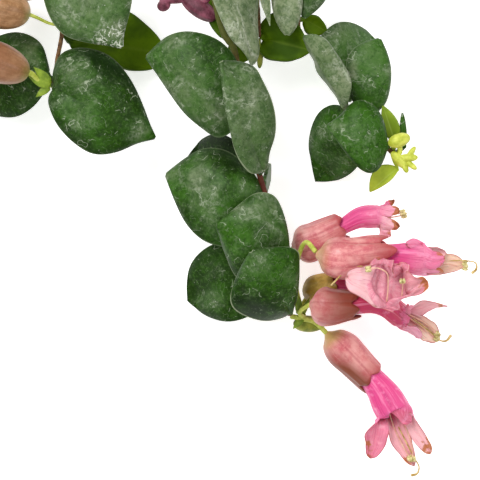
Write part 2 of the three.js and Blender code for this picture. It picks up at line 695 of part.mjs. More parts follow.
// Filaments and style: one strand up the flower's tube that parts at the mouth.
function stamensMesh(flower) {
  const tube = smoothPath(corollaAxis(flower));
  const trunk = [0.512, 0.75, 0.97].map((t) => tube.getPoint(t).toArray());
  const mouth = trunk[2];
  const thin = (points, steps) => rod(points.map((p) => [...p, FILAMENT_RADIUS]), STALK_SIDES, steps);
  const threads = flower.threads.map((end) => thin([mouth, end], 1));
  const anthers = flower.threads.map((end) => {
    const ahead = v3(end).sub(v3(mouth)).normalize();
    const from = v3(end).addScaledVector(ahead, -0.5).toArray();
    const to = v3(end).addScaledVector(ahead, 1.5).toArray();
    return bead(from, to, ANTHER_RADIUS, 6);
  });
  const style = flower.style.length ? [thin([mouth, ...flower.style], 5)] : [];
  return joined(`${flower.name}_stamens`, [thin(trunk, 4), ...threads, ...anthers, ...style], "stamens");
}

function budMesh(bud) {
  const swellings = bud.beads.map(([from, to, radius]) => bead(from, to, radius, radius > 2 ? 10 : 6));
  return joined(bud.name, [rod(bud.stalk, STALK_SIDES, bud.stalk.length), ...swellings], bud.finish);
}

function clusterMesh() {
  const stalks = CLUSTER.stalks.map((points) => rod(points, STALK_SIDES, points.length + 1));
  const beads = CLUSTER.beads.map(([from, to, radius]) => bead(from, to, radius, 8));
  return joined("cluster_stalk", [...stalks, ...beads], "stalk");
}

function stemMesh() {
  const branches = Object.values(STEMS).map((points) => rod(points, STEM_SIDES, (points.length - 1) * 2));
  return joined("stem", branches, "stem");
}

// The whole spray.
const spray = new THREE.Group();
spray.name = "lipstick_plant_spray";

spray.add(stemMesh());
LEAVES.forEach((leaf) => spray.add(leafMesh(leaf)));
FLOWERS.forEach((flower) => {
  spray.add(calyxMesh(flower));
  spray.add(corollaMesh(flower));
  spray.add(stamensMesh(flower));
});
BUDS.forEach((bud) => spray.add(budMesh(bud)));
spray.add(clusterMesh());
spray.children.forEach((mesh) => mesh.geometry.translate(-MIDDLE[0], -MIDDLE[1], 0));

export default spray;
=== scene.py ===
import math

import bmesh
import bpy
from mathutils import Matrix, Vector, noise


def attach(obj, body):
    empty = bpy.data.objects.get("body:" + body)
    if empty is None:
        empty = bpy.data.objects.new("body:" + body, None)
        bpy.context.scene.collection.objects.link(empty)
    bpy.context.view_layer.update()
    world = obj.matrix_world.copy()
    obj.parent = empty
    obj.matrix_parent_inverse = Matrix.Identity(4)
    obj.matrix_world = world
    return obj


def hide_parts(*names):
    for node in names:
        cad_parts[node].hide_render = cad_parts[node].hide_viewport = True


# The looks of a cut lipstick plant spray that lies on a pale table: thick waxy leaves, tan buds and a cluster of
# pink tubular flowers. Lengths in the tables are in mm on the sheet that the photo shows: X to the right, Y up
# towards the cut end of the stem, Z up from the table. Shares are from 0 to 1, and faces are counted across and
# along.

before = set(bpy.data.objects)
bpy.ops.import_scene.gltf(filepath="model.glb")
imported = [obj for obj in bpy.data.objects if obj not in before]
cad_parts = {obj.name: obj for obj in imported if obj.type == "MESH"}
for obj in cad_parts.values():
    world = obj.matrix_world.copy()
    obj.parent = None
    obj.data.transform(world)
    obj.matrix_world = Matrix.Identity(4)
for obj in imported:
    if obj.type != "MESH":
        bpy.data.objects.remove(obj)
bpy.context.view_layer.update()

# Driving values
MM = 0.001
MIDDLE = Vector((-8.1, 32.5, 0))  # the sheet's place of the model's own origin
WELD = 0.002  # points nearer to each other than this are one
PATH_STEP = 0.004  # share of a path over which its direction is taken
STEEP = 0.8  # rise of a path that counts as running up

LEAF_FACES = (24, 33)
NARROW_LEAF_FACES = (12, 24)
NARROW = 6  # width below which a leaf is narrow
LEAF_WALL = 1.15  # thickness of a grown leaf
YOUNG_WALL = 0.8
GROWN_HALF = 6  # half width from which a leaf has its full relief
LEAF_WAVES = [(11, 1.3, 0), (4.5, 0.3, 9)]  # size, height and place in the noise of a blade's broad and small waves
LEAF_FULLNESS = 1.7  # exponent sum of a leaf's outline, larger is more pointed at both ends
MIDRIB_HALF = 0.9
MIDRIB_DEPTH = 0.05
RIM_ROLL = 0.8  # how far the rim of a leaf turns down
PETIOLE_HALF = 0.85  # half width of a leaf stalk
TIP_HALF = 0.1  # half width of the point of a leaf
STALK_SHARE = 0.12  # share of a leaf's rows that make its stalk
CLEARANCE = 0.02  # room between the lowest leaf and the table

CALYX_FACES = (60, 38)
CALYX_WALL = 0.7
CALYX_KEEL = 0.035  # share by which the middle of each segment stands out
CALYX_TOOTH = 1.2  # length that each tooth of a calyx leans towards
BODY_SHARE = 0.84  # share of a calyx's rows below its teeth
TUBE_ROWS = 28
LOBE_FACES = (12, 18)
PANEL_ROWS = 10
COROLLA_WALL = 0.35
WEB = 0.2  # share of a lobe's length that is joined to its neighbours
LOBE_FOOT = 0.14  # share of a lobe's length in which it leaves the mouth
LOBE_KEEL = 0.3  # height of the fold along a lobe's middle
FILAMENT = 0.22  # radius
THREAD_START = 0.86  # place in the tube where the filaments part
ANTHER_ENDS = [(-0.5, 0.5), (1.5, 0.4)]  # how far past the filament's end, and how far beside it
ANTHER_RADIUS = 0.55
BRACT_FACES = (12, 14)
BRACT_HALF = 0.3  # half thickness of a bract, and how far its middle rises and its foot widens

PHOTO_WIDTH = 144  # width of the sheet that the camera frames at PHOTO_LEVEL
PHOTO_LEVEL = 25  # height over the table
CAMERA_HEIGHT = 1500
SENSOR = 36
TABLE_HALF = 2  # m
TABLE_GLOW = 0.6  # light that the table gives off itself
WORLD_LIGHT = 0.34
LAMPS = [  # place and size in m, watts
    ("key light", (-0.5, 0.6, 1.1), 0.7, 15),
    ("fill light", (0.75, 0.1, 1.0), 0.8, 5),
    ("low light", (-0.1, -0.8, 1.0), 0.8, 4),
]

# Stems: centre line points with the radius at each, from the cut end or the fork outwards
FORK = (-5, 110, 8)
STEMS = {
    "main": [(0, 136, 1.9, 1.9), (-1.5, 124, 3.4, 1.8), (*FORK, 1.7)],
    "middle": [
        (*FORK, 1.5), (-8.5, 98, 13, 1.25), (-9.3, 86, 18, 1.15), (-7.5, 72, 22, 1),
        (-4.8, 61.8, 24, 0.95), (-1.8, 57.3, 24.6, 0.95), (0, 44.4, 25, 0.95), (3, 31.5, 25, 0.85),
        (5.7, 20.1, 25, 0.85), (9, 8.4, 24, 0.85), (12, -4.5, 22, 0.85), (14.4, -18, 20, 0.85),
        (15, -22.8, 19.4, 0.8),
    ],
    "left": [
        (*FORK, 1.3), (-22, 106.5, 14, 1.05), (-40, 99, 20, 0.9), (-52, 91, 22.6, 0.8),
        (-55.6, 82, 23, 0.75), (-55, 72, 22, 0.7), (-53.5, 63.5, 21.5, 0.7), (-54.9, 54.6, 20.8, 0.65),
        (-56, 46.8, 20, 0.65),
    ],
    "shoot": [
        (-8, 98.6, 13, 1), (0, 90, 16.6, 0.8), (4.6, 80, 19, 0.7), (5.2, 72, 19.6, 0.65),
        (5.6, 66.9, 20, 0.6), (5.8, 61, 20, 0.6),
    ],
    "right": [
        (*FORK, 1.3), (8, 103, 12, 1), (16.6, 91, 16, 0.9), (19, 78, 18, 0.8),
        (17.4, 66, 18, 0.75), (18.6, 60, 17.6, 0.75), (23.6, 54.6, 18, 0.75), (28.6, 46.6, 19, 0.75),
        (31.5, 39.9, 20, 0.75), (38, 33.4, 20.8, 0.7), (44.4, 27.6, 21, 0.7), (46.6, 25.4, 21, 0.65),
    ],
}

# Bark along each stem, as places and ages: brown at 0, dark red where it is young at 1, olive at -1
STEM_FRESH = {
    "main": [(0, 0), (1, 0)],
    "middle": [(0, 0), (0.12, -1), (0.4, -1), (0.5, 0.7), (1, 0.9)],
    "left": [(0, 0), (1, 0.3)],
    "shoot": [(0, 0), (1, 0.4)],
    "right": [(0, 0), (1, 0.4)],
}

# Leaves. start: the place on the stem, and the stem's radius there. base, tip: the ends of the blade. left_edge,
# right_edge: points in plan that its edges pass, from base to tip. left, right: half width, and where along the
# blade it is widest. full: exponent sum of its outline. arch: rise of the middle. dome: fall of both edges. roll:
# rise of the left edge over the midrib. bends: side, 1 left or -1 right, share across where the bend starts, and
# its drop. skin: which skin shows, upper unless it is said. wall: thickness. dust_and_sheen: share of grey dust,
# which also stands in as painted sheen. tone: from -1, dark, to 1, light, the leaf's own depth of green together
# with painted light and shade. dust_sheen_and_shade_spots: place, size and amount of spots that are dustier with
# painted sheen above 0, and cleaner and darker with painted shade below 0, or painted lighter and darker on an
# underside. rim: share of pale margin on the left and right. worn: scuffs at the tip.
LEAVES = [
    dict(name="left_1", start=(-55.6, 82.5, 23, 0.75), base=(-56, 84.2, 26.6), tip=(-35.4, 57.7, 29.5),
         left_edge=[(-46, 88.5), (-36, 86.5), (-31.8, 79), (-32.4, 72), (-33.4, 67.4), (-35, 61.8)],
         right_edge=[(-60, 79), (-58.6, 72), (-56.4, 66), (-52.6, 61.4), (-46.4, 59.4), (-40.6, 58.6)],
         left=(14, 0.48), right=(11, 0.46), full=1.9, arch=5, dome=2.6, rim=(0.5, 0.5), worn=1, dust_and_sheen=0.3,
         dust_sheen_and_shade_spots=[(-50, 82, 9, 0.21), (-45, 70, 8, 0.21), (-37, 62, 4, 0.35), (-52, 67, 4, 0.14)]),
    dict(name="left_2", start=(-53.5, 63, 21.5, 0.7), base=(-51.6, 60, 17.6), tip=(-22.6, 57, 2),
         left_edge=[(-46, 67), (-40, 70), (-33.3, 69), (-29.1, 66), (-25.2, 62.2)],
         right_edge=[(-51, 58), (-48, 56), (-43, 55), (-39, 54.5), (-35.4, 51.9), (-31.2, 51.3), (-25.6, 52.4)],
         left=(12, 0.4), right=(6.8, 0.6), arch=1, dome=-2, skin="under",
         dust_sheen_and_shade_spots=[(-27, 57, 5, 0.7), (-36, 53, 4, 0.3), (-50, 62, 6, -0.3)]),
    dict(name="left_3", start=(-56, 46.9, 20, 0.65), base=(-55.6, 45.6, 25.4), tip=(-25.6, 30.8, 22),
         left_edge=[(-55.8, 50.4), (-53.4, 56), (-47.4, 57.6), (-39.4, 55.4), (-33.4, 48.8), (-29.8, 41.4),
                    (-27.4, 35)],
         right_edge=[(-57.3, 42), (-56.6, 38.6), (-54.2, 33.8), (-49.6, 29), (-43.8, 25.8), (-37, 26.6),
                     (-31.4, 29.2)],
         left=(16.6, 0.25), right=(12.8, 0.42), full=1.4, arch=6, dome=1.8, rim=(0.15, 0.15), bends=[(1, 0.35, 3.4)],
         dust_and_sheen=0.04, tone=-0.2,
         dust_sheen_and_shade_spots=[(-50.5, 51, 4, 0.35), (-46, 48.5, 4, 0.3), (-53.5, 41, 4, 0.28), (-48, 36, 4, 0.35),
                (-39, 45.5, 3.5, 0.22), (-44.5, 41, 2.5, 0.3), (-29.5, 32.5, 3.5, 0.5), (-43.5, 54.6, 4, -0.7),
                (-37.5, 51.2, 4.5, -0.7), (-33.4, 45.6, 3, -0.3)]),
    dict(name="left_4", start=(-56, 47.4, 20, 0.65), base=(-57.6, 49.6, 18.2), tip=(-87, 48, -5),
         left_edge=[(-59.8, 43.8), (-63.4, 39.6), (-68, 37.4), (-74.4, 38.1), (-80.6, 42)],
         right_edge=[(-58.4, 54.2), (-59.8, 58.9), (-63.6, 62), (-69, 63), (-76.2, 60.4), (-82.6, 54)],
         left=(11.9, 0.3), right=(14.4, 0.18), full=1.2, arch=4, dome=1.5, rim=(0.1, 0.1), dust_and_sheen=0.04, tone=-0.2,
         dust_sheen_and_shade_spots=[(-64.8, 58.5, 4, 0.35), (-62.4, 55.5, 3, 0.35), (-64.2, 43.5, 4, 0.28), (-70, 46, 8, -0.18)]),
    dict(name="middle_1", start=(-9.2, 85, 18.4, 1.5), base=(-4.6, 84.8, 26), tip=(3.6, 52.2, 33),
         left_edge=[(1.8, 84.4), (5.2, 79), (5.2, 72), (4.9, 66), (5.2, 60), (5.4, 57), (4.9, 54.2)],
         right_edge=[(-9, 82.4), (-10.2, 77), (-8.2, 72), (-5.3, 64.8), (-2.6, 59.6), (0.8, 56.4), (2.3, 54.4)],
         left=(5.5, 0.4), right=(7.6, 0.35), full=1.2, arch=5, roll=-5, dome=1, rim=(0.5, 0.5), dust_and_sheen=1,
         dust_sheen_and_shade_spots=[(2, 68.5, 4, -0.48), (3.1, 58.4, 4, 0.28), (-5, 72, 4, 0.14)]),
    dict(name="middle_2", start=(-4.8, 61.8, 24, 0.95), base=(-4, 60.4, 19.6), tip=(-2, 87, 3), left=(7, 0.4),
         right=(6, 0.4), arch=1, dome=-1.5, skin="under", tone=-0.2),
    dict(name="middle_3", start=(-0.2, 45, 25, 0.95), base=(-0.8, 44.4, 28), tip=(-28.1, 54.9, 23.4),
         left_edge=[(-0.4, 38.4), (-2.4, 32.8), (-6.4, 30.6), (-11, 33.4), (-16.2, 37.8), (-20.6, 43.8),
                    (-25, 50.4)],
         right_edge=[(0, 48.4), (-1.6, 54.6), (-5.4, 59.1), (-10.8, 61.6), (-16.6, 62.4), (-21.6, 61),
                     (-25.4, 57.8)],
         left=(14.8, 0.19), right=(12.9, 0.5), full=1.35, arch=4, dome=2.2, rim=(0.2, 0.2), bends=[(1, 0.5, 2)],
         dust_and_sheen=0.2, tone=0.1,
         dust_sheen_and_shade_spots=[(-21.1, 58.4, 4, 0.35), (-15.2, 45.4, 7, 0.35), (-6.9, 37.1, 4, 0.39), (-8.7, 54.2, 4.5, -0.3),
                (-6.3, 43.6, 3.5, -0.3)]),
    dict(name="middle_4", start=(5.7, 20.1, 25, 0.85), base=(6.6, 20.6, 29), tip=(-5.8, 53.1, 36),
         left_edge=[(3.8, 19.7), (0.6, 22.6), (-1.7, 27.2), (-3, 33), (-4.2, 39.2), (-5, 46)],
         right_edge=[(7.8, 21.8), (8.6, 26.4), (10.2, 31), (10.4, 36.6), (9, 42.4), (6.6, 47.4), (4.3, 51.5),
                     (-0.6, 53)],
         left=(5.2, 0.25), right=(10.6, 0.6), full=1.4, arch=5, roll=4, dome=1.5, rim=(0.9, 0.9), dust_and_sheen=0.42,
         tone=-0.2, dust_sheen_and_shade_spots=[(3.7, 42.4, 4, 0.24), (-3.9, 51.3, 2.5, -0.3), (0, 32, 5, 0.07), (7, 28, 4, -0.12)]),
    # Its tone of -1 is painted shade, as this leaf lies deep under the leaves above it.
    dict(name="middle_5", start=(5.3, 21.6, 25, 0.85), base=(3.6, 21.8, 20.6), tip=(-17.4, 22.6, -6), left=(8, 0.45),
         right=(10, 0.5), arch=3, dome=1.5, tone=-1),
    dict(name="middle_6", start=(6.4, 17.8, 24.9, 0.85), base=(7.5, 18.6, 21.4), tip=(8.9, 18.4, 1),
         left=(4.8, 0.42), right=(4.8, 0.42), arch=0, dome=0, dust_and_sheen=0.3, rim=(0.4, 0.4), tone=0.1),
    dict(name="middle_7", start=(9, 8.4, 24, 1), base=(6.4, 8.6, 26.4), tip=(-22.2, 19.6, 22),
         left_edge=[(7, 4.4), (4.6, 0.4), (0, -2), (-6, -1.8), (-11.4, 0.2), (-16, 5), (-19.4, 12)],
         right_edge=[(6.8, 13.4), (4.8, 18.6), (0.4, 23.6), (-5, 27), (-11, 27.2), (-16.4, 24.2)], left=(14.1, 0.32),
         right=(13.3, 0.5), full=1.55, arch=5, dome=2.2, rim=(0.2, 0.2), bends=[(-1, 0.4, 3)], dust_and_sheen=0.05, tone=0.1,
         dust_sheen_and_shade_spots=[(-12, 17.2, 6.5, 0.6), (-8.9, 6.9, 4.5, 0.3), (2.1, 14.9, 4, 0.35), (-20.7, 20, 2.5, 0.42),
                (-3.2, 23.3, 4.5, -0.7), (-16.8, 7.8, 4, -0.4)]),
    dict(name="middle_8", start=(12, -4.5, 22, 0.85), base=(14.4, -3.4, 25.8), tip=(-6.9, 4.5, 32),
         left_edge=[(14, -7.4), (10.6, -11.2), (5.6, -12.9), (-0.6, -11.4), (-3.6, -5.4), (-5.6, 0.4)],
         right_edge=[(14.2, 1.4), (12.8, 7.8), (10.6, 12.6), (8.4, 14), (4.4, 13.8), (0.2, 10.6), (-3.6, 7.4)],
         left=(14.5, 0.42), right=(13.8, 0.48), full=1.6, arch=4.5, roll=-1.5, dome=2.4, rim=(0.5, 0.5),
         bends=[(1, 0.5, 2)], dust_and_sheen=0.1, tone=0.1,
         dust_sheen_and_shade_spots=[(-0.9, 8.5, 4, 0.4), (8.4, 9.3, 5, 0.42), (2.1, -0.9, 4, 0.1), (-0.2, -6.5, 4, -0.24),
                (12, 2, 3, 0.21)]),
    dict(name="middle_9", start=(12, -5, 21.9, 0.85), base=(9.4, -6.8, 18.6), tip=(-16.1, -18.6, -5),
         left_edge=[(10.8, -13.6), (7.4, -19.6), (2, -23.4), (-4, -24.7), (-10, -23), (-14.6, -19.9)],
         right_edge=[(6.6, -2.8), (1.4, -0.4), (-4, -0.2), (-9.6, -2), (-14.2, -6.4), (-16.2, -12.6)],
         left=(12, 0.5), right=(12.2, 0.5), arch=4, dome=1.6, rim=(0.1, 0.1), dust_and_sheen=0.03, tone=-0.3,
         dust_sheen_and_shade_spots=[(-8.1, -8, 4, 0.24), (-8.1, -18.3, 3.5, 0.39), (-12, -13, 4, -0.18), (0, -20, 4, -0.24)]),
    dict(name="middle_10", start=(15, -22, 19.5, 0.8), base=(15, -21.7, 23.4), tip=(3.4, -3.5, 38),
         left_edge=[(12.6, -23), (7.4, -24), (1.8, -22.6), (-2.2, -20), (-2.9, -17), (-1.9, -13.6), (0.8, -7.6)],
         right_edge=[(16.6, -18.2), (17.4, -12.2), (17.5, -6), (17.2, -3.4), (15.4, -2.3), (9.6, -2.5)],
         left=(13.2, 0.42), right=(11, 0.58), full=1.5, arch=4, dome=2, rim=(1, 1), bends=[(1, 0.35, 4)], dust_and_sheen=0.08,
         tone=0.2,
         dust_sheen_and_shade_spots=[(6.9, -5.7, 4, 0.21), (14.8, -11.2, 3, 0.28), (2.2, -18.5, 5, -0.8), (10, -20.5, 5, -0.6),
                (4, -9, 4, 0.16)]),
    dict(name="shoot_1", start=(4.6, 80, 19, 0.7), base=(6.2, 80, 22.4), tip=(9, 64.3, 24.5), left=(1.4, 0.4),
         right=(1.6, 0.4), arch=1.5, dome=-1, dust_and_sheen=1, rim=(0.6, 0.6), tone=0.8, wall=YOUNG_WALL),
    dict(name="shoot_2", start=(18.7, 79.4, 17.9, 1.15), base=(14.6, 82, 21), tip=(14.1, 61.5, 27), left=(4.1, 0.5),
         right=(4.6, 0.42), full=1.3, arch=3, roll=1.5, dome=2.5, rim=(0.8, 0.8), dust_and_sheen=0.95,
         dust_sheen_and_shade_spots=[(13, 68, 3, -0.24)]),
    dict(name="shoot_3", start=(6.3, 61.4, 20, 0.6), base=(7.8, 60.6, 16.6), tip=(21.3, 57, 22.4),
         left_edge=[(6, 64.2), (8.4, 67.6), (12, 69), (15.4, 67.6), (18, 64), (19.6, 60.4)],
         right_edge=[(5.8, 57.4), (7.6, 54.8), (11, 54), (14.6, 53.8), (18, 54.8)], left=(7.5, 0.4),
         right=(4.5, 0.46), arch=0, dome=-1, skin="under", tone=-0.3),
    dict(name="shoot_4", start=(6.1, 64, 20, 0.85), base=(3.6, 61, 17), tip=(-3.6, 53.6, 12), left=(4, 0.45),
         right=(4, 0.4), arch=1, dome=-1, skin="under", tone=0.2),
    dict(name="right_1", start=(17.4, 88.6, 16.4, 1.5), base=(21.4, 86.6, 20.8), tip=(19.2, 66.8, 23),
         left=(7, 0.45), right=(1.9, 0.5), arch=3, dome=2, dust_and_sheen=0.3, rim=(1, 1), tone=-0.3),
    dict(name="right_2", start=(17.4, 66.4, 18, 0.85), base=(19.4, 66.8, 15), tip=(26, 63.2, 11), left=(2.6, 0.45),
         right=(3.4, 0.45), arch=0.5, dome=-1, skin="under", tone=-0.1),
    dict(name="right_3", start=(31.4, 40, 20, 0.75), base=(31.6, 40, 23.8), tip=(19.2, 60.9, 27),
         left_edge=[(29.6, 43.8), (26.4, 47.2), (23.4, 50.8), (22.6, 54), (20.8, 57)],
         right_edge=[(32.6, 42.6), (33.4, 47), (31.6, 51.4), (28.4, 56.2), (25.6, 60), (22.6, 61.4)],
         left=(1.4, 0.55), right=(5.9, 0.45), full=1.3, arch=3, roll=-4, dome=0.5, dust_and_sheen=0.6,
         dust_sheen_and_shade_spots=[(23.3, 57.8, 4, 0.28), (30.8, 47.3, 4, 0.35), (25.5, 51, 3, -0.18)]),
    dict(name="right_4", start=(31.4, 40, 20, 0.9), base=(31.8, 41.8, 16), tip=(42, 60.4, -4),
         left_edge=[(27, 46), (23.6, 53), (24, 61), (26.4, 63.9), (29.4, 65.9), (33.4, 66), (37.6, 64.2),
                    (40.4, 62.2)],
         right_edge=[(37, 45), (41.6, 51), (43, 57)], left=(14.6, 0.68), right=(6, 0.4), full=1.1, arch=5, dome=1,
         rim=(0.1, 0.1), dust_and_sheen=0.28, tone=0.6,
         dust_sheen_and_shade_spots=[(30.8, 62.3, 4, 0.21), (33, 54.8, 2.5, -0.48), (26, 58, 4, 0.14)]),
    dict(name="right_5", start=(38, 33.6, 20.8, 0.7), base=(40, 38, 20.2), tip=(42, 60.4, 21),
         left_edge=[(35.6, 40), (32.8, 44.6), (31.9, 50.4), (33, 55.9), (37.4, 59.2)],
         right_edge=[(43.4, 41.2), (44.8, 46), (45.1, 51.4), (44, 56)], left=(9.6, 0.46), right=(3.9, 0.46),
         full=1.5, arch=3, dome=1.8, rim=(0.5, 0.5), dust_and_sheen=0.2, tone=0.7,
         dust_sheen_and_shade_spots=[(34.2, 50.3, 1.8, 0.7), (34, 53, 1.5, 0.5), (38.3, 57, 4, 0.24), (43.5, 50.3, 3, 0.28)]),
    dict(name="right_6", start=(33, 38.4, 20.2, 0.75), base=(34, 38.8, 16.4), tip=(22.9, 17.8, -6),
         left_edge=[(38.6, 34), (38, 27.4), (35.2, 21.8), (31.4, 19), (27, 17.8)],
         right_edge=[(31.6, 40), (28, 40.9), (24.4, 38.9), (22, 34.2), (21.2, 28.4), (21.9, 22.4)], left=(9, 0.5),
         right=(9.2, 0.28), full=1.4, arch=4, dome=1.2, bends=[(-1, 0.2, 2.5)], dust_and_sheen=0.05, tone=0.4,
         dust_sheen_and_shade_spots=[(24, 30.8, 4, 0.42), (30.8, 24, 4, 0.21), (27.8, 39, 4, -0.42), (27.8, 28.5, 4, -0.36)]),
    dict(name="right_7", start=(44.4, 27.6, 21, 0.7), base=(43.9, 28, 25.2), tip=(26.1, 34, 25),
         left_edge=[(43, 24.8), (41, 21), (38.6, 20.1), (35.4, 22), (31.6, 26.8), (28.4, 31.2)],
         right_edge=[(43.6, 31.8), (42.4, 36.6), (39.8, 40.4), (36.4, 41.8), (33.6, 40.8), (30.6, 37.4)],
         left=(8.8, 0.26), right=(10.8, 0.46), full=1.7, arch=4.5, dome=2, rim=(0.1, 0.1), dust_and_sheen=0.1, tone=1,
         dust_sheen_and_shade_spots=[(30, 33.8, 3, 0.4), (36, 33, 4, 0.22)]),
    dict(name="young_1", start=(45.8, 26.4, 21, 0.95), base=(46.6, 29.6, 19.6), tip=(42.9, 40.4, 21),
         left=(2.2, 0.4), right=(2.9, 0.4), arch=1, dome=-0.8, skin="young", wall=YOUNG_WALL, tone=-0.4),
    dict(name="young_2", start=(46.4, 25.6, 21, 0.75), base=(49.2, 27.8, 19), tip=(48.9, 38.2, 19), left=(1.1, 0.4),
         right=(1.1, 0.4), arch=1, dome=-0.3, tone=0.2),
    dict(name="young_3", start=(46.2, 25.2, 21, 0.65), base=(47.4, 21.6, 18.6), tip=(39.3, 14.6, 16),
         left=(1.5, 0.4), right=(4.4, 0.45), arch=2.2, dome=-1.8, bends=[(1, 0.3, 1.6)], skin="young",
         wall=YOUNG_WALL, tone=0.9),
    dict(name="fork_1", start=(-4.6, 111, 7.6, 2.3), base=(-12, 113, 8), tip=(-36, 122, -5), left=(11.5, 0.42),
         right=(11.5, 0.42), arch=4, dome=1.5, dust_and_sheen=0.35, rim=(0.2, 0.2)),
    dict(name="fork_2", start=(-3.4, 114.6, 6.8, 1.7), base=(2.6, 116, 8.2), tip=(27, 122, -5), left=(11, 0.42),
         right=(11.5, 0.42), arch=4, dome=1.5, dust_and_sheen=0.35, rim=(0.2, 0.2)),
]

# Flowers. up: the side of the upper lip. calyx: its centre line. width, depth, mouth: across the calyx. teeth:
# lengths of its five lobes. close: how far they lean in. groove: depth of the clefts between them. foot: share of
# yellow-green at the stalk. ripe: from 0, olive, to 1, pink. dusk: how deep and brown the calyx is. flank:
# place round the calyx and strength of a darker side, which is painted shade. tube: the corolla's way on from the
# calyx. neck: its width in the calyx. throat: its opening. flare: share of the opening that it has before its end.
# panel: depth of the folded inside, where it shows. blush: depth of the tube's colour. fade: how pale the tube
# grows. web: share of the lobes that is joined. crumple: waviness of the lobes. lobes: the five of them, clockwise
# from the upper right seen from the stalk. threads: ways of the filaments, an anther at each end. style: way of the
# style. stigma: radius of its end.


def petal_lobe(way, wide, face, pale, wither, cup=0.2, point=0.15, deep=0):
    """A lobe of a corolla: the way of its midline, its half width, which way its back looks, its pallor, cream over
    1, its withered share, how far its edges curl, how pointed it is and the depth of its colour."""
    return dict(way=way, wide=wide, face=face, pale=pale, wither=wither, cup=cup, point=point, deep=deep)


